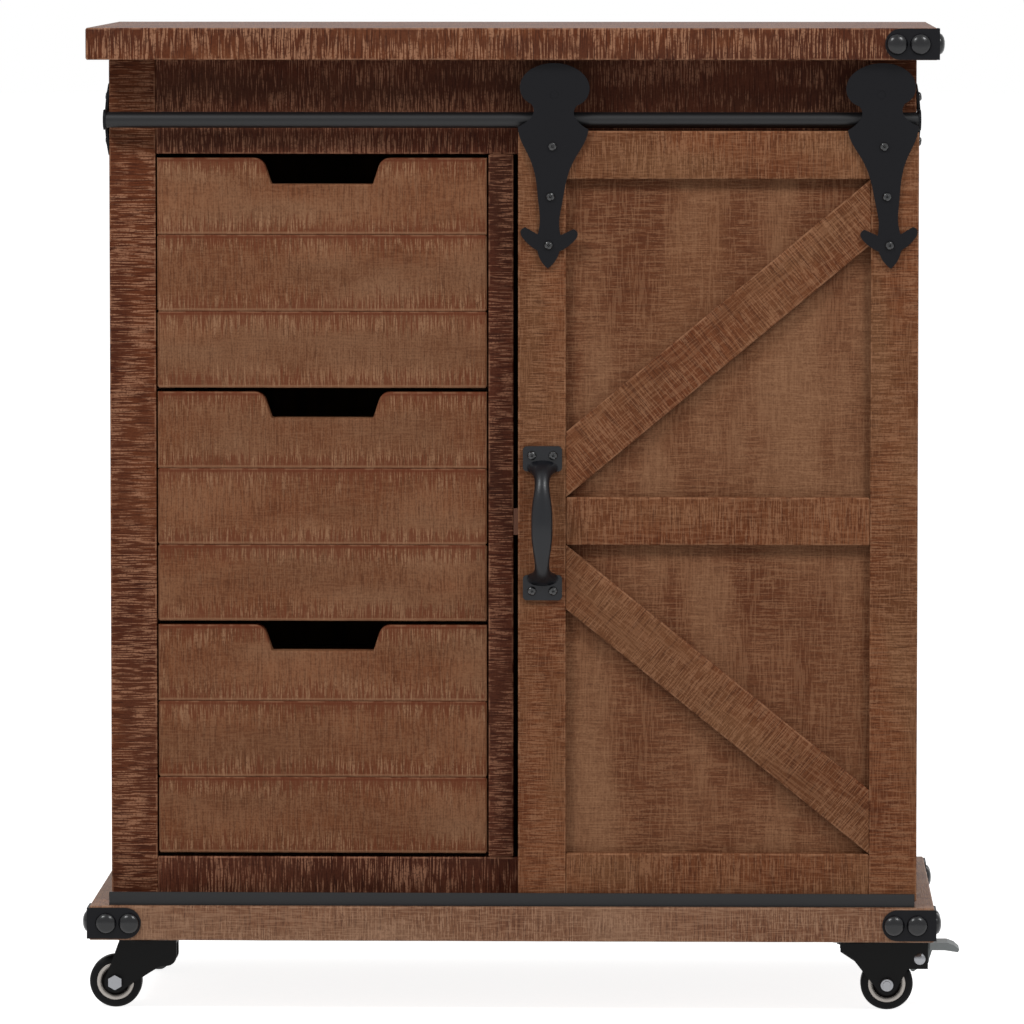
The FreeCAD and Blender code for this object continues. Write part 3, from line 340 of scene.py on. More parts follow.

# %% [markdown]
# One function puts the steps together, and each wood of the cabinet is one call of it. The frame, the sides
# and the top board are stained dark, and the top board is smoother. The front rails and the centre stile get
# a darker copy of the same stain, whose extra darkness is painted shade. Drawers, door and base board are a
# lighter brown.


# %% The woods
def sawn_wood(name, ground, pale, red, cover, scratch, cross=0.0, wear=0.5, comb=0.0, depth=0.7,
              gloss=0.1, roughness=0.55):
    """ground and red are the stain's two tones, and pale is bare wood.

    cover is the share of pale strokes and scratch their strength. cross is the strength of the pale grain,
    depth that of the dark strokes, and wear that of the bare edges. comb says how far the strokes keep to the
    joints.
    """
    g = SawnBoard(name)
    colour = stained(g, ground, red, depth)
    colour = sanded(g, colour, pale, cover, scratch, cross, comb)
    if comb:
        colour = jointed(g, colour, pale, red, comb)
    return g.finish(
        Base_Color=worn(g, colour, ground, pale, red, wear),
        Roughness=roughness + g.fine * 0.2,
        Normal=g.bump(g.fine, 0.5, 0.6 * MM),
        Specular_IOR_Level=gloss,
    )


stile_wood = sawn_wood(
    "stile_wood", tone(72, 35, 19), tone(152, 108, 82), tone(94, 50, 28), cover=0.42, scratch=0.68,
)
# A darker copy of the stile wood for the front rails and the centre stile: its extra darkness is painted
# shade.
shaded_frame_wood = sawn_wood(
    "shaded_frame_wood", tone(64, 32, 19), tone(146, 102, 78), tone(80, 40, 25), cover=0.38, scratch=0.75,
)
top_wood = sawn_wood(
    "top_wood", tone(72, 36, 20), tone(150, 108, 82), tone(94, 50, 27), cover=0.42, scratch=0.74,
    gloss=0.12, roughness=0.38,
)
drawer_wood = sawn_wood(
    "drawer_wood", tone(109, 73, 51), tone(138, 101, 75), tone(113, 71, 47), cover=0.5, scratch=0.85,
    cross=0.18, wear=0.4, comb=0.68, depth=0.45,
)
door_wood = sawn_wood(
    "door_wood", tone(98, 62, 39), tone(147, 106, 78), tone(102, 58, 34), cover=0.45, scratch=0.45,
    cross=0.24, depth=0.6,
)
panel_wood = sawn_wood(
    "panel_wood", tone(112, 75, 52), tone(143, 104, 76), tone(95, 56, 35), cover=0.42, scratch=0.36,
    cross=0.28, wear=0.0, depth=0.35,
)
base_wood = sawn_wood(
    "base_wood", tone(117, 83, 62), tone(152, 117, 92), tone(112, 74, 52), cover=0.42, scratch=0.62,
    cross=0.35, depth=0.6, gloss=0.2, roughness=0.42,
)
for wood in (stile_wood, shaded_frame_wood, top_wood, drawer_wood, door_wood, panel_wood, base_wood):
    print(wood.name, "has", len(wood.node_tree.nodes), "nodes")

# %% [markdown]
# The boards inside are planed and plain. Their grain is noise in the object's own coordinates, drawn out
# along Z.


# %% Plain boards inside
def inner_board(name, colour):
    g = Graph(name)
    grain = g.noise(g.object_place() * (60.0, 60.0, 9.0), detail=4.0, rough=0.6)
    deep = tuple(c * 0.6 for c in colour)
    return g.finish(Base_Color=g.mix(grain.ramp(0.3, 0.7), deep, colour), Roughness=0.75)


inner_wood = inner_board("inner_wood", tone(99, 59, 38))
print(inner_wood.name, "has", len(inner_wood.node_tree.nodes), "nodes")

# %% [markdown]
# ## Metal, rubber and plastic
# Powder coat is sprayed as dust and baked, which leaves it satin, with a faint orange-peel texture: that is
# `grit`, a bump from fine noise, which only the powder coats have. The same noise varies the roughness of
# every finish a little, because no surface is equally smooth all over.

# %% Metal and rubber
SPECKLES = 900.0


def plain(name, colour, roughness, metallic=0.0, grit=0.0, gloss=0.5):
    g = Graph(name)
    speckle = g.noise(g.object_place(), scale=SPECKLES, detail=2.0)
    inputs = {
        "Base_Color": colour,
        "Roughness": roughness + (speckle - 0.5) * 0.12,
        "Metallic": metallic,
        "Specular_IOR_Level": gloss,
    }
    if grit:
        inputs["Normal"] = g.bump(speckle, grit, 0.2 * MM)
    return g.finish(**inputs)


black_coat = plain("black_coat", tone(14, 14, 17), 0.45, grit=0.25, gloss=0.12)
rail_coat = plain("rail_coat", tone(11, 11, 13), 0.42, grit=0.25, gloss=0.31)
handle_coat = plain("handle_coat", tone(14, 15, 19), 0.34, grit=0.25, gloss=0.28)
nail_black = plain("nail_black", tone(9, 9, 12), 0.25, gloss=0.36)
black_screw = plain("black_screw", tone(10, 10, 12), 0.22, gloss=0.65)
fork_black = plain("fork_black", tone(12, 12, 12), 0.4, gloss=0.1)
zinc = plain("zinc", tone(134, 135, 138), 0.32, metallic=1.0)
rim_silver = plain("rim_silver", tone(160, 154, 148), 0.42, metallic=0.6)
tyre_black = plain("tyre_black", tone(12, 12, 13), 0.5, gloss=0.1)
hub_black = plain("hub_black", tone(24, 22, 21), 0.45, gloss=0.2)
pedal_grey = plain("pedal_grey", tone(104, 108, 108), 0.5, metallic=0.3)
print(len(bpy.data.materials), "materials, with those that came with the pieces")

# %% [markdown]
# ## Shells
# Every new piece here is a closed shell, made of rings of points with faces between each ring and the next.
# What differs is only where the rings lie: along a board, in from a plate's outline, or up a screw's head.
# The piece then rides on the body that moves it, and stands for the CAD node that it replaces.


# %% Shells and pieces
def band(bm, before, after):
    """The faces between two rings that have as many points."""
    around = len(before)
    corners = [(i, (i + 1) % around) for i in range(around)]
    return [bm.faces.new((before[i], before[j], after[j], after[i])) for i, j in corners]


def skin(bm, rings):
    """A closed shell over the rings. It returns its bands of faces."""
    bands = [band(bm, before, after) for before, after in zip(rings, rings[1:])]
    bm.faces.new(rings[0])
    bm.faces.new(rings[-1])
    return bands


def finish_mesh(bm, name):
    bmesh.ops.recalc_face_normals(bm, faces=bm.faces)
    mesh = bpy.data.meshes.new(name)
    bm.to_mesh(mesh)
    bm.free()
    return mesh


def new_piece(name, mesh, material, body, slot, *replaced):
    """A piece that moves with body and is shown instead of the CAD nodes in replaced."""
    mesh.materials.append(material)
    piece = bpy.data.objects.new(name, mesh)
    bpy.context.scene.collection.objects.link(piece)
    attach(piece, body)
    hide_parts(*replaced)
    return piece


def coat(node, material):
    """Gives a CAD piece, whose shape stays, another finish."""
    mesh = nodes[node].data
    mesh.materials.clear()
    mesh.materials.append(material)


print("helpers for shells and pieces: band, skin, finish_mesh, new_piece, coat")

# %% [markdown]
# ## Boards
# A board is drawn as a row of cross-sections, each a rectangle with rounded corners, one every centimetre.
# A bevel would round every edge alike. Here each corner of each section has its own radius, so that small
# random changes make the edges look handled and worn.

# %% A board's cross-section
CORNERS = ((1, 1, 0), (-1, 1, 90), (-1, -1, 180), (1, -1, 270))
ARC_DEGREES = (0, 45, 90)


def section(half_width, half_depth, radii):
    """The outline of a rounded rectangle, with three points to each corner."""
    points = []
    for (side_a, side_b, first), radius in zip(CORNERS, radii):
        centre = Vector((side_a * (half_width - radius), side_b * (half_depth - radius)))
        for step in ARC_DEGREES:
            angle = math.radians(first + step)
            points.append(centre + radius * Vector((math.cos(angle), math.sin(angle))))
    return points


print("a section has", len(CORNERS) * len(ARC_DEGREES), "points")

# %% [markdown]
# The sawn wood reads three attributes from the vertices. They are written while the board is made, because
# only then is it known where each vertex lies on it.


# %% Board attributes
def board_layers(bm):
    """The attributes that the sawn wood reads, made on bm where it has none yet."""
    vectors, numbers = bm.verts.layers.float_vector, bm.verts.layers.float
    place = vectors.get("board_place") or vectors.new("board_place")
    half = vectors.get("board_half") or vectors.new("board_half")
    seed = numbers.get("board_seed") or numbers.new("board_seed")
    return place, half, seed


def tag(vert, layers, *values):
    for layer, value in zip(layers, values):
        vert[layer] = value


print("each vertex knows its place on its board, half the board's size and the board's number")

# %% [markdown]
# The board maker puts these together. The noise that changes the radii runs slowly along each edge, and the
# corner's and the board's numbers move it on, so that no two edges are worn alike.

# %% Board maker
X, Y, Z = Vector((1, 0, 0)), Vector((0, 1, 0)), Vector((0, 0, 1))
EASE = 1.0 * MM
SECTION_STEP = 10 * MM
WANDER, WANDER_WAVES = 0.55, 70
CORNER_SHIFT, SEED_SHIFT = 9.7, 3.1


def add_board(bm, centre, along, half, seed, ease):
    """Adds a board to bm. half holds half its length, thickness and width. Its thickness runs along Y."""
    across = along.cross(Y)
    layers = board_layers(bm)
    count = max(2, round(2 * (half.x - ease) / SECTION_STEP))
    inner = [-half.x + ease + 2 * (half.x - ease) * i / count for i in range(count + 1)]
    stations = [(-half.x, ease)] + [(x, 0.0) for x in inner] + [(half.x, ease)]
    rings = []
    for x, inset in stations:
        radii = []
        for corner in range(4):
            wander = noise.noise(Vector((x * WANDER_WAVES, corner * CORNER_SHIFT, seed * SEED_SHIFT)))
            radii.append(ease * (1.0 + WANDER * wander))
        ring = []
        for a, b in section(half.z - inset, half.y - inset, radii):
            ring.append(bm.verts.new(centre + along * x + Y * b + across * a))
            tag(ring[-1], layers, Vector((x, b, a)), half, seed)
        rings.append(ring)
    skin(bm, rings)


def board_like(bm, low, high, along, seed, ease=EASE):
    """A board that fills the box from low to high, with its length along X or Z."""
    size = (high - low) / 2
    half = size if along == X else Vector((size.z, size.y, size.x))
    add_board(bm, (low + high) / 2, along, half, seed, ease)


def dress_board(node, along, material, body, slot, seed):
    bm = bmesh.new()
    low, high = box_of(node)
    board_like(bm, low, high, along, seed)
    new_piece(f"{node}_sawn", finish_mesh(bm, node), material, body, slot, node)


print("edges are eased by", round(EASE / MM, 2), "mm, give or take", round(EASE * WANDER / MM, 2))

# %% [markdown]
# The cabinet is a frame of thick boards with panels behind. The saw strokes cross each board's length, so
# they stand upright on the rails and lie flat on the stiles. What is inside keeps its CAD shape and gets
# plain wood.

# %% The cabinet's boards
# The centre stile and the front rails take the darker copy of the frame wood, whose extra darkness is painted
# shade.
cabinet_boards = [
    ("top_board", X, top_wood), ("base_board", X, base_wood), ("left_front_stile", Z, stile_wood),
    ("centre_front_stile", Z, shaded_frame_wood), ("right_front_stile", Z, stile_wood),
    ("top_front_rail", X, shaded_frame_wood), ("bottom_front_rail", X, shaded_frame_wood),
    ("left_side_panel", Z, stile_wood), ("right_side_panel", Z, stile_wood),
]
for number, (node, along, material) in enumerate(cabinet_boards):
    slot = "base_wood" if node == "base_board" else "dark_wood"
    dress_board(node, along, material, "cabinet", slot, seed=1.0 + number)

for node in ("centre_partition", "back_panel", "floor_panel", "compartment_shelf", "drawer_runners"):
    coat(node, inner_wood)
print(len(cabinet_boards), "boards on the cabinet")

# %% [markdown]
# The door is a frame round a recessed panel, with a rail across its middle. These boards stand upright or
# lie level, so the same board maker serves. The slanting braces come after them.

# %% The door's boards
door_boards = [
    ("door_left_stile", Z, door_wood), ("door_right_stile", Z, door_wood), ("door_top_rail", X, door_wood),
    ("door_bottom_rail", X, door_wood), ("door_middle_rail", X, door_wood), ("door_panel", Z, panel_wood),
]
for number, (node, along, material) in enumerate(door_boards):
    dress_board(node, along, material, "door", "brown_wood", seed=31.0 + number)
print(len(door_boards), "boards on the door")

# %% [markdown]
# ## Flat pieces with an outline
# A brace's slanting ends and a drawer front's hand notch need a real outline. The piece is a stack of
# copies of that outline, moved in a little next to each face, which rounds its edges all the way round.

# %% Outline maker
ROUNDING = ((0.0, 1.0), (0.3, 0.3), (1.0, 0.0))


def moved_in(outline, distance):
    """The outline with every side moved in by distance. Its points run clockwise as seen from the front."""
    moved = []
    neighbours = zip(outline[-1:] + outline[:-1], outline, outline[1:] + outline[:1])
    for before, point, after in neighbours:
        first, second = (point - before).normalized(), (after - point).normalized()
        in_first, in_second = Y.cross(first), Y.cross(second)
        middle = (in_first + in_second).normalized()
        moved.append(point + middle * (distance / max(0.3, middle.dot(in_first))))
    return moved


def outline_prism(bm, outline, front, back, ease):
    """A flat piece with this outline in the XZ plane, and with its edges rounded."""
    stations = [(front + depth * ease, inset * ease) for depth, inset in ROUNDING]
    stations += [(back - depth * ease, inset * ease) for depth, inset in reversed(ROUNDING)]
    skin(bm, [[bm.verts.new((p.x, y, p.z)) for p in moved_in(outline, inset)] for y, inset in stations])


def tag_board(bm, centre, along, half, seed):
    """Gives all the vertices of bm the coordinates of one board."""
    across = along.cross(Y)
    layers = board_layers(bm)
    for vert in bm.verts:
        away = vert.co - centre
        tag(vert, layers, (away.dot(along), away.dot(Y), away.dot(across)), half, seed)


print("edges are rounded in", len(ROUNDING), "steps")

# %% [markdown]
# A brace keeps a door from sagging. It runs from corner to corner of the space between two rails, and its
# ends are cut upright to fit the stiles. Its slope follows from that space and its own width: the strip's
# upright height times the cosine of its angle is its width, and the square of that is a quadratic equation
# for the slope.

# %% The door's braces
BRACE_WIDTH = 37.8 * MM
BRACE_EASE = 0.8 * MM
rail_low, rail_high = box_of("door_middle_rail")
bottom_rail_top, top_rail_foot = box_of("door_bottom_rail")[1].z, box_of("door_top_rail")[0].z


def brace_piece(node, low, high, rising, seed):
    """A diagonal board between these heights whose ends are cut to fit the upright stiles."""
    left, right = rail_low.x, rail_high.x
    width, height = right - left, high - low
    run, reach = width ** 2 - BRACE_WIDTH ** 2, height ** 2 - BRACE_WIDTH ** 2
    slope = (height * width - math.sqrt((height * width) ** 2 - run * reach)) / run
    rise = slope * width
    if rising:
        corners = [(left, low), (left, high - rise), (right, high), (right, low + rise)]
    else:
        corners = [(left, low + rise), (left, high), (right, high - rise), (right, low)]
    along = Vector((width, 0, rise if rising else -rise)).normalized()
    front, back = rail_low.y, rail_high.y
    centre = Vector(((left + right) / 2, (front + back) / 2, (low + high) / 2))
    half = Vector((math.hypot(width, height) / 2, (back - front) / 2, BRACE_WIDTH / 2))
    bm = bmesh.new()
    outline_prism(bm, [Vector((x, 0, z)) for x, z in corners], front, back, BRACE_EASE)
    tag_board(bm, centre, along, half, seed)
    new_piece(f"{node}_sawn", finish_mesh(bm, node), door_wood, "door", "brown_wood", node)
    print(node, "slopes by", round(slope, 3))


brace_piece("door_upper_brace", rail_high.z, top_rail_foot, True, seed=41.0)
brace_piece("door_lower_brace", bottom_rail_top, rail_low.z, False, seed=42.0)

# %% [markdown]
# ## Drawers
# A drawer has no pull: the hand goes into a notch in the top edge of its front. A jigsaw cuts it, so its
# corners are round, wide at the shoulders and tight at the foot.

# %% Hand notch
NOTCH_TOP, NOTCH_FOOT, NOTCH_DEPTH = 90.0 * MM, 77.0 * MM, 20.0 * MM
SHOULDER, FOOT = 9.0 * MM, 1.5 * MM
ARC_STEPS = 5


def rounded_corner(before, corner, after, radius):
    """Points of an arc that rounds the corner between its two neighbours."""
    to_before, to_after = (before - corner).normalized(), (after - corner).normalized()
    turn = to_before.angle(to_after)
    centre = corner + (to_before + to_after).normalized() * (radius / math.sin(turn / 2))
    start = corner + to_before * (radius / math.tan(turn / 2)) - centre
    end = corner + to_after * (radius / math.tan(turn / 2)) - centre
    return [centre + start.slerp(end, i / ARC_STEPS) * radius for i in range(ARC_STEPS + 1)]


def notched_outline(low, high):
    middle = (low.x + high.x) / 2
    foot = high.z - NOTCH_DEPTH
    left_top, right_top = Vector((low.x, 0, high.z)), Vector((high.x, 0, high.z))
    a, b = Vector((middle - NOTCH_TOP / 2, 0, high.z)), Vector((middle - NOTCH_FOOT / 2, 0, foot))
    c, d = Vector((middle + NOTCH_FOOT / 2, 0, foot)), Vector((middle + NOTCH_TOP / 2, 0, high.z))
    outline = [Vector((low.x, 0, low.z)), left_top]
    outline += rounded_corner(left_top, a, b, SHOULDER) + rounded_corner(a, b, c, FOOT)
    outline += rounded_corner(b, c, d, FOOT) + rounded_corner(c, d, right_top, SHOULDER)
    return outline + [right_top, Vector((high.x, 0, low.z))]


print("the hand notch is", round(NOTCH_TOP / MM), "mm wide and", round(NOTCH_DEPTH / MM), "mm deep")

# %% [markdown]
# Each front is three planks glued edge to edge. Their rounded edges meet in a shallow groove, and the top
# plank has the notch. The walls and the bottom behind it are plain boards.

# %% Drawer fronts
PLANKS = 3
PLANK_EASE = 1.2 * MM


def notched_plank(low, high, seed):
    bm = bmesh.new()
    outline_prism(bm, notched_outline(low, high), low.y, high.y, PLANK_EASE)
    tag_board(bm, (low + high) / 2, X, (high - low) / 2, seed)
    return finish_mesh(bm, "plank")


def drawer_front(drawer):
    node = f"drawer_{drawer}_front"
    low, high = box_of(node)
    plank = (high.z - low.z) / PLANKS
    first_seed = 50.0 + drawer * PLANKS
    bm = bmesh.new()
    for row in range(PLANKS - 1):
        plank_low = Vector((low.x, low.y, low.z + row * plank))
        plank_high = Vector((high.x, high.y, low.z + (row + 1) * plank))
        board_like(bm, plank_low, plank_high, X, first_seed + row, PLANK_EASE)
    top_plank = notched_plank(Vector((low.x, low.y, high.z - plank)), high, first_seed + PLANKS - 1)
    bm.from_mesh(top_plank)
    bpy.data.meshes.remove(top_plank)
    new_piece(
        f"drawer_{drawer}_planks", finish_mesh(bm, node), drawer_wood, f"drawer_{drawer}", "brown_wood", node
    )
    for inner in ("walls", "bottom"):
        coat(f"drawer_{drawer}_{inner}", inner_wood)
    print(node, "has planks", round(plank / MM, 1), "mm wide")


for drawer in (1, 2, 3):
    drawer_front(drawer)

# %% [markdown]
# ## Ironwork
# The pressed and forged pieces keep their CAD shapes, which have their bends and holes already, and get a
# finish each. Most are black with powder coat, and it is glossier on the round rail, the floor guide and
# the handle. The castors' forks are black, their bolts are zinc plated, and their pedals are grey.

# %% Ironwork
coated = dict.fromkeys((
    "rail_brackets", "corner_brackets", "left_hanger_strap", "right_hanger_strap", "hanger_axles",
    "left_roller", "right_roller",
), black_coat)
coated.update({
    "door_handle": handle_coat, "door_rail": rail_coat, "door_guide_channel": rail_coat,
    "castor_plates": fork_black,
})
CASTOR_FINISHES = {"castor_fork": fork_black, "castor_axle": zinc, "brake_pedal": pedal_grey}
for ending, finish in CASTOR_FINISHES.items():
    coated.update({node: finish for node in nodes if node.endswith(ending)})
for node, finish in coated.items():
    coat(node, finish)
print(len(coated), "metal pieces keep their shapes")

# %% [markdown]
# ## Screws and nails
# Repeated fasteners are one small mesh each, set on points that know which way to face. A screw has a low,
# rounded pan head with a cross-shaped recess. A nail is a plain dome, as on a trunk's corners.


# %% Fastener shapes
def ring_of(bm, radius, height, around, turn=0.0):
    """A ring of points round Z, turned by this share of the step between two of them."""
    angles = [2 * math.pi * (i + turn) / around for i in range(around)]
    return [bm.verts.new((radius * math.cos(a), radius * math.sin(a), height)) for a in angles]


def screw_head(radius, height):
    """A pan head that faces +Z, with a cross-shaped recess."""
    bm = bmesh.new()
    arm, slim = radius * 0.52, radius * 0.17
    cross = []
    for turn in range(4):
        a = math.pi / 2 * turn
        for x, y in ((slim, -slim), (arm, -slim), (arm, slim)):
            cross.append((x * math.cos(a) - y * math.sin(a), x * math.sin(a) + y * math.cos(a)))
    rounds = ((1.0, -0.4), (1.0, 0.3), (0.9, 0.68), (0.64, 0.96))
    rings = [ring_of(bm, radius * share, height * rise, len(cross), turn=0.5) for share, rise in rounds]
    for shrink, rise in ((1.0, 1.0), (0.3, -0.1)):
        rings.append([bm.verts.new((x * shrink, y * shrink, height * rise)) for x, y in cross])
    # The recess starts 60 degrees before the rings outside it, which folds four faces of the flat top.
    bands = skin(bm, rings)
    for faces in bands[:3]:
        for face in faces:
            face.smooth = True
    return finish_mesh(bm, "screw_head")


def nail_head(radius, height):
    """A domed head that faces +Z."""
    bm = bmesh.new()
    around = 20
    rounds = ((1.0, -0.15), (1.0, 0.12), (0.88, 0.5), (0.62, 0.82), (0.28, 0.98))
    skin(bm, [ring_of(bm, radius * share, height * rise, around) for share, rise in rounds])
    mesh = finish_mesh(bm, "nail_head")
    mesh.shade_smooth()
    return mesh


pan = screw_head(3.5 * MM, 2.2 * MM)
dome = nail_head(8.0 * MM, 4.0 * MM)
print("a screw's head has", len(pan.polygons), "faces, a nail's", len(dome.polygons))

# %% [markdown]
# The points that carry the fasteners are the vertices of a small mesh, and an attribute on each says which
# way it faces. The tree puts a head on every point, turns it to face that way, spins it by a random angle,
# as real screws end up, and makes one mesh of them all. A change to one screw then changes them all.


# %% A tree that sets fasteners
def setting_tree():
    tree = bpy.data.node_groups.new("set_fasteners", "GeometryNodeTree")
    tree.is_modifier = True
    entries = {"Geometry": "Geometry", "Head": "Object", "Material": "Material", "Seed": "Int"}
    for name, kind in entries.items():
        tree.interface.new_socket(name, in_out="INPUT", socket_type=f"NodeSocket{kind}")
    tree.interface.new_socket("Geometry", in_out="OUTPUT", socket_type="NodeSocketGeometry")

    def put(kind, settings, inputs):
        made = tree.nodes.new(kind)
        for key, value in settings.items():
            setattr(made, key, value)
        for key, value in inputs.items():
            if isinstance(value, bpy.types.NodeSocket):
                tree.links.new(value, made.inputs[key])
            else:
                made.inputs[key].default_value = value
        return made.outputs

    entry = put("NodeGroupInput", {}, {})
    head = put("GeometryNodeObjectInfo", {}, {"Object": entry["Head"]})
    facing = put("GeometryNodeInputNamedAttribute", {"data_type": "FLOAT_VECTOR"}, {"Name": "facing"})
    align = put("FunctionNodeAlignRotationToVector", {"axis": "Z"}, {"Vector": facing["Attribute"]})
    onto = put("GeometryNodeInstanceOnPoints", {}, {
        "Points": entry["Geometry"], "Instance": head["Geometry"], "Rotation": align["Rotation"],
    })
    chance = put("FunctionNodeRandomValue", {"data_type": "FLOAT_VECTOR"}, {
        "Min": (0.0, 0.0, 0.0), "Max": (0.0, 0.0, 2 * math.pi), "Seed": entry["Seed"],
    })
    spin = put("GeometryNodeRotateInstances", {}, {
        "Instances": onto["Instances"], "Rotation": chance["Value"],
    })
    solid = put("GeometryNodeRealizeInstances", {}, {"Geometry": spin["Instances"]})
    paint = put("GeometryNodeSetMaterial", {}, {
        "Geometry": solid["Geometry"], "Material": entry["Material"],
    })
    put("NodeGroupOutput", {}, {"Geometry": paint["Geometry"]})
    return tree


fasteners = setting_tree()
sockets = {
    item.name: item.identifier for item in fasteners.interface.items_tree if item.in_out == "INPUT"
}
print("the tree's inputs are", sockets)

# %% [markdown]
# A modifier runs the tree on the points. What it makes is then copied out as a plain mesh, because a
# finished piece should no longer depend on its helpers, and the helpers are removed.


# %% Fasteners as one mesh
def set_fasteners(seats, head_mesh, material, seed):
    """One mesh of heads. seats holds (place, facing) pairs."""
    points = bpy.data.meshes.new("points")
    points.from_pydata([place for place, facing in seats], [], [])
    facing_layer = points.attributes.new("facing", "FLOAT_VECTOR", "POINT")
    for item, (place, facing) in zip(facing_layer.data, seats):
        item.vector = facing
    carrier = bpy.data.objects.new("carrier", points)
    head = bpy.data.objects.new("head", head_mesh)
    for thing in (carrier, head):
        bpy.context.scene.collection.objects.link(thing)
    modifier = carrier.modifiers.new("set", "NODES")
    modifier.node_group = fasteners
    modifier[sockets["Head"]] = head
    modifier[sockets["Material"]] = material
    modifier[sockets["Seed"]] = seed
    bpy.context.view_layer.update()
    graph = bpy.context.evaluated_depsgraph_get()
    mesh = bpy.data.meshes.new_from_object(carrier.evaluated_get(graph), depsgraph=graph)
    mesh.materials.clear()
    bpy.data.objects.remove(carrier)
    bpy.data.objects.remove(head)
    bpy.data.meshes.remove(points)
    print(len(seats), "heads make", len(mesh.polygons), "faces")
    return mesh


# %% [markdown]
# A corner bracket is a strip of steel bent round a board's corner, and two large domed nails hold each leg.
# Their heads stand on the strip, so they lie one strip's thickness outside the board.

# %% Nails of the corner brackets
STRIP = 1.5 * MM
NAIL_REACHES = (13.0 * MM, 30.5 * MM)
base_low, base_high = box_of("base_board")


def corner_nails(low, high, side_x, side_y):
    """Seats for the nails at one corner of the board from low to high. side_x and side_y are 1 or -1."""
    corner_x = high.x if side_x > 0 else low.x
    corner_y = high.y if side_y > 0 else low.y
    height = (low.z + high.z) / 2
    seats = []
    for reach in NAIL_REACHES:
        on_front = Vector((corner_x - side_x * reach, corner_y + side_y * STRIP, height))
        on_side = Vector((corner_x + side_x * STRIP, corner_y - side_y * reach, height))
        seats += [(on_front, Vector((0, side_y, 0))), (on_side, Vector((side_x, 0, 0)))]
    return seats


nail_seats = corner_nails(top_low, top_high, 1, -1)
for side_x in (-1, 1):
    for side_y in (-1, 1):
        nail_seats += corner_nails(base_low, base_high, side_x, side_y)
nails = set_fasteners(nail_seats, dome, nail_black, seed=1)
new_piece("domed_nails", nails, nail_black, "cabinet", "black_metal", "corner_nails")

# %% [markdown]
# Each of the door's hanger straps has three screws down its middle, and it leans a little, as it was fitted
# by eye. The handle has two screws in each foot. They all move with the door, so they are one piece.

# %% Screws of the door
FRONT = Vector((0, -1, 0))
STRAP_LENGTH = 130.7 * MM
STRAP_SCREWS = (0.297, 0.586, 0.866)
STRAP_LEANS = {"left_roller": 2.2, "right_roller": -3.3}
FOOT_THICKNESS, FOOT_SCREW_UP, FOOT_SCREW_OUT = 3.0 * MM, 7.0 * MM, 8.0 * MM


def middle_of(node):
    low, high = box_of(node)
    return (low + high) / 2


strap_front = box_of("left_hanger_strap")[0].y
door_seats = []
for roller, lean in STRAP_LEANS.items():
    axle = middle_of(roller)
    down = Matrix.Rotation(math.radians(lean), 3, "Y") @ Vector((0, 0, -STRAP_LENGTH))
    for share in STRAP_SCREWS:
        door_seats.append((Vector((axle.x, strap_front, axle.z)) + down * share, FRONT))
handle_low, handle_high = box_of("door_handle")
handle_x = (handle_low.x + handle_high.x) / 2
for height in (handle_low.z + FOOT_SCREW_UP, handle_high.z - FOOT_SCREW_UP):
    for step in (-FOOT_SCREW_OUT, FOOT_SCREW_OUT):
        door_seats.append((Vector((handle_x + step, handle_high.y - FOOT_THICKNESS, height)), FRONT))
door_heads = set_fasteners(door_seats, pan, black_screw, seed=5)
new_piece("door_screw_heads", door_heads, black_screw, "door", "black_metal", "door_screws")

# %% [markdown]
# The cabinet's own screws sit on the rail's bowed end brackets and under the castor plates. Countersunk
# ones lie flush in the floor guide and under the base board, where they hold the side panels. A bow is part
# of a cylinder, so its two screws face outwards along that cylinder's radius.

# %% Screws of the rail's end brackets
BOW_RADIUS = 133.0 * MM
BOW_SCREW_UP, BOW_SCREW_BACK = 17.0 * MM, 24.0 * MM
rail_end_low, rail_end_high = box_of("door_rail")
bow_low, bow_high = box_of("rail_brackets")
angle = math.asin(BOW_SCREW_UP / BOW_RADIUS)
rail_height = (rail_end_low.z + rail_end_high.z) / 2
screw_y = box_of("left_front_stile")[0].y + BOW_SCREW_BACK
cabinet_seats = []
for side, reach in ((-1, bow_low.x), (1, bow_high.x)):
    for up in (-1, 1):
        facing = Vector((side * math.cos(angle), 0, up * math.sin(angle)))
        centre = Vector((reach - side * BOW_RADIUS, screw_y, rail_height))
        cabinet_seats.append((centre + facing * BOW_RADIUS, facing))
print(len(cabinet_seats), "screws on the bows, turned", round(math.degrees(angle), 1), "degrees up and down")

# %% [markdown]
# A castor's plate has four screws round its swivel, and the swivel joints in the frame say where that is.

# %% Screws underneath
PLATE, PLATE_SCREW_OUT = 2.0 * MM, 17.0 * MM
GUIDE_SCREWS, GUIDE_END, GUIDE_HEAD = 4, 60 * MM, 0.9 * MM
BASE_SCREWS, BASE_HEAD = (-60.0 * MM, 10.0 * MM, 80.0 * MM), 1.8 * MM
swivels = {
    joint["child"]: joint["pos_m"] for joint in frame["joints"] if joint["name"].endswith("_swivel")
}
for castor in [name for name in nodes if name.endswith("_castor_fork")]:
    x, y = swivels[castor][:2]
    for step_x in (-PLATE_SCREW_OUT, PLATE_SCREW_OUT):
        for step_y in (-PLATE_SCREW_OUT, PLATE_SCREW_OUT):
            cabinet_seats.append((Vector((x + step_x, y + step_y, base_low.z - PLATE)), -Z))
guide_low, guide_high = box_of("door_guide_channel")
guide_step = (guide_high.x - guide_low.x - 2 * GUIDE_END) / (GUIDE_SCREWS - 1)
for number in range(GUIDE_SCREWS):
    x = guide_low.x + GUIDE_END + number * guide_step
    cabinet_seats.append((Vector((x, (guide_low.y + guide_high.y) / 2, guide_low.z + GUIDE_HEAD)), Z))
base_middle_y = (base_low.y + base_high.y) / 2
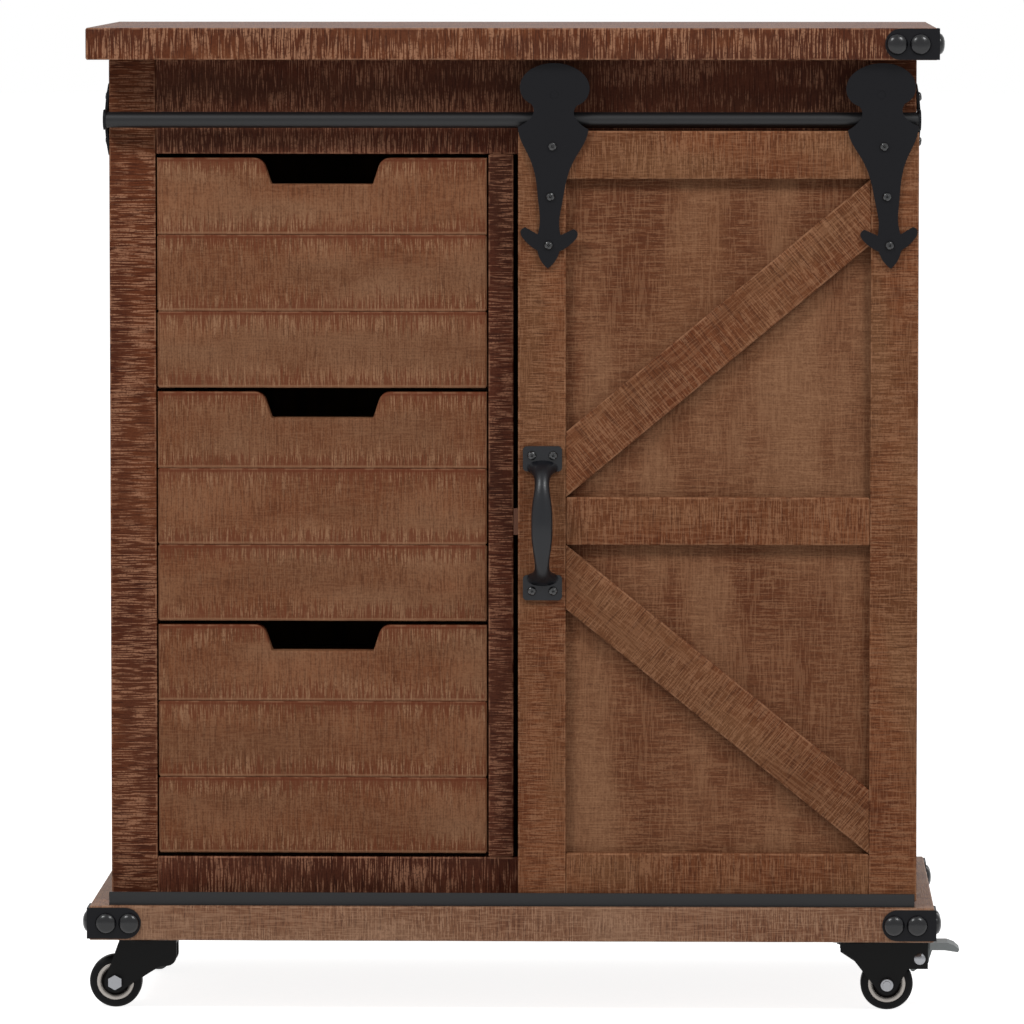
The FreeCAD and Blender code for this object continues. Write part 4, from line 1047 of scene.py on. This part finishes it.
for node in ("left_side_panel", "right_side_panel"):
    for step in BASE_SCREWS:
        seat = Vector((middle_of(node).x, base_middle_y + step, base_low.z + BASE_HEAD))
        cabinet_seats.append((seat, -Z))
cabinet_heads = set_fasteners(cabinet_seats, pan, black_screw, seed=9)
new_piece("cabinet_screw_heads", cabinet_heads, black_screw, "cabinet", "black_metal", "cabinet_screws")

# %% [markdown]
# ## Wheels
# A castor wheel is turned: one half-profile, mirrored and spun round the axle. The tyre is soft and dark,
# the hub has a bare rim round a dish, and a boss carries the axle. Each point of the profile is a radius, a
# distance from the wheel's middle, and the number of its finish.

# %% Wheels
HUB, RIM, TYRE = 0, 1, 2
HALF_PROFILE = [
    (3.05, 10.2, HUB), (5.6, 10.2, HUB), (6.0, 9.8, HUB), (6.2, 6.6, HUB), (7.0, 5.6, HUB),
    (9.4, 5.7, HUB), (10.2, 6.3, HUB), (10.6, 7.4, RIM), (11.4, 8.1, RIM), (12.4, 8.4, RIM),
    (13.6, 8.4, RIM), (14.2, 8.0, TYRE), (14.6, 8.4, TYRE), (17.4, 8.4, TYRE), (19.0, 7.5, TYRE),
    (19.8, 6.1, TYRE), (20.0, 4.4, TYRE),
]
AROUND = 72
SHARP = math.radians(40)


def turned_wheel(node, axis):
    outward = axis.cross(Z)
    centre = middle_of(node)
    profile = HALF_PROFILE + [(radius, -along, finish) for radius, along, finish in HALF_PROFILE[::-1]]
    angles = [2 * math.pi * i / AROUND for i in range(AROUND)]
    spokes = [outward * math.cos(a) + Z * math.sin(a) for a in angles]
    bm = bmesh.new()
    rings = [
        [bm.verts.new(centre + away * radius * MM + axis * along * MM) for away in spokes]
        for radius, along, finish in profile
    ]
    for k, before in enumerate(rings):
        after = (k + 1) % len(rings)
        for face in band(bm, before, rings[after]):
            face.material_index = min(profile[k][2], profile[after][2])
            face.smooth = True
    piece = new_piece(f"{node}_turned", finish_mesh(bm, node), hub_black, node, "tyre_rubber", node)
    for material in (rim_silver, tyre_black):
        piece.data.materials.append(material)
    piece.data.set_sharp_from_angle(angle=SHARP)


axles = {
    joint["child"]: Vector(joint["axis"])
    for joint in frame["joints"] if joint["name"].endswith("wheel_turn")
}
for node, axis in axles.items():
    turned_wheel(node, axis)
print(len(axles), "wheels of", round(2 * HALF_PROFILE[-1][0]), "mm")

# %% [markdown]
# ## Studio
# The floor and the background are white. A stronger lamp would bleach the cabinet with them, so they only
# look white: Light Path tells where the eye meets them, directly, in a mirror or through glass, and only
# there do they glow in full. The floor's glow is a little under full white, and its paper still takes a
# faint shadow.


# %% Floor
def seen(tree):
    """1 where the eye meets it, directly, in a mirror or through glass, and 0 for the light it sends out."""
    path = tree.nodes.new("ShaderNodeLightPath")
    total = path.outputs["Is Camera Ray"]
    for ray in ("Is Glossy Ray", "Is Transmission Ray"):
        either = tree.nodes.new("ShaderNodeMath")
        either.operation = "MAXIMUM"
        tree.links.new(total, either.inputs[0])
        tree.links.new(path.outputs[ray], either.inputs[1])
        total = either.outputs[0]
    return total


def white_paper(name, shade, glow):
    """Pale paper that looks almost as white as its background, but still takes a faint shadow."""
    material = bpy.data.materials.new(name)
    material.use_nodes = True
    tree = material.node_tree
    tree.nodes.clear()
    paper, light = tree.nodes.new("ShaderNodeBsdfDiffuse"), tree.nodes.new("ShaderNodeEmission")
    paper.inputs["Color"].default_value = (shade, shade, shade, 1.0)
    light.inputs["Strength"].default_value = glow
    lit, blend = tree.nodes.new("ShaderNodeAddShader"), tree.nodes.new("ShaderNodeMixShader")
    out = tree.nodes.new("ShaderNodeOutputMaterial")
    tree.links.new(paper.outputs[0], lit.inputs[0])
    tree.links.new(light.outputs[0], lit.inputs[1])
    tree.links.new(seen(tree), blend.inputs[0])
    tree.links.new(paper.outputs[0], blend.inputs[1])
    tree.links.new(lit.outputs[0], blend.inputs[2])
    tree.links.new(blend.outputs[0], out.inputs["Surface"])
    return material


FLOOR_REACH = 30
corners = [(-1, -1), (1, -1), (1, 1), (-1, 1)]
floor_mesh = bpy.data.meshes.new("floor")
floor_mesh.from_pydata([(x * FLOOR_REACH, y * FLOOR_REACH, 0) for x, y in corners], [], [(0, 1, 2, 3)])
floor_mesh.materials.append(white_paper("floor_paper", shade=0.8, glow=0.88))
floor = bpy.data.objects.new("floor", floor_mesh)
bpy.context.scene.collection.objects.link(floor)
print("a floor", 2 * FLOOR_REACH, "metres wide")

# %% [markdown]
# The world is both the background and the ambient light that fills the shadows. The eye sees it at full
# white, and the cabinet gets only its weaker light.

# %% Background
AMBIENT = 0.3
world = bpy.data.worlds.new("studio")
bpy.context.scene.world = world
world.use_nodes = True
sky = world.node_tree
backdrop, ambient = sky.nodes["Background"], sky.nodes.new("ShaderNodeBackground")
backdrop.inputs["Color"].default_value = (1, 1, 1, 1)
ambient.inputs["Color"].default_value = (1, 1, 1, 1)
ambient.inputs["Strength"].default_value = AMBIENT
mixer = sky.nodes.new("ShaderNodeMixShader")
sky.links.new(seen(sky), mixer.inputs[0])
sky.links.new(ambient.outputs[0], mixer.inputs[1])
sky.links.new(backdrop.outputs[0], mixer.inputs[2])
sky.links.new(mixer.outputs[0], sky.nodes["World Output"].inputs["Surface"])
print("white background, with an ambient light of", AMBIENT)

# %% [markdown]
# Two soft lamps stand in front, high up to the left and right. They draw the shadows under the top board
# and the door's rails, and put small highlights on the nails in front.

# %% Lamps
LAMP_RIGHT, LAMP_FRONT, LAMP_HEIGHT = 1.6, 1.9, 2.7
LAMP_TARGET = Vector((0, 0, 0.4))
LAMP_SIZE, LAMP_WATTS = 0.9, 54


def softbox(name, place, target, side, power):
    data = bpy.data.lights.new(name, "AREA")
    data.shape = "SQUARE"
    data.size, data.energy = side, power
    lamp = bpy.data.objects.new(name, data)
    bpy.context.scene.collection.objects.link(lamp)
    lamp.location = place
    lamp.rotation_euler = (target - place).to_track_quat("-Z", "Y").to_euler()


for name, side in (("left_lamp", -1), ("right_lamp", 1)):
    place = Vector((LAMP_RIGHT * side, -LAMP_FRONT, LAMP_HEIGHT))
    softbox(name, place, LAMP_TARGET, LAMP_SIZE, LAMP_WATTS)
bpy.context.scene.view_settings.view_transform = "Standard"
print("two lamps of", LAMP_WATTS, "watts")

# %% [markdown]
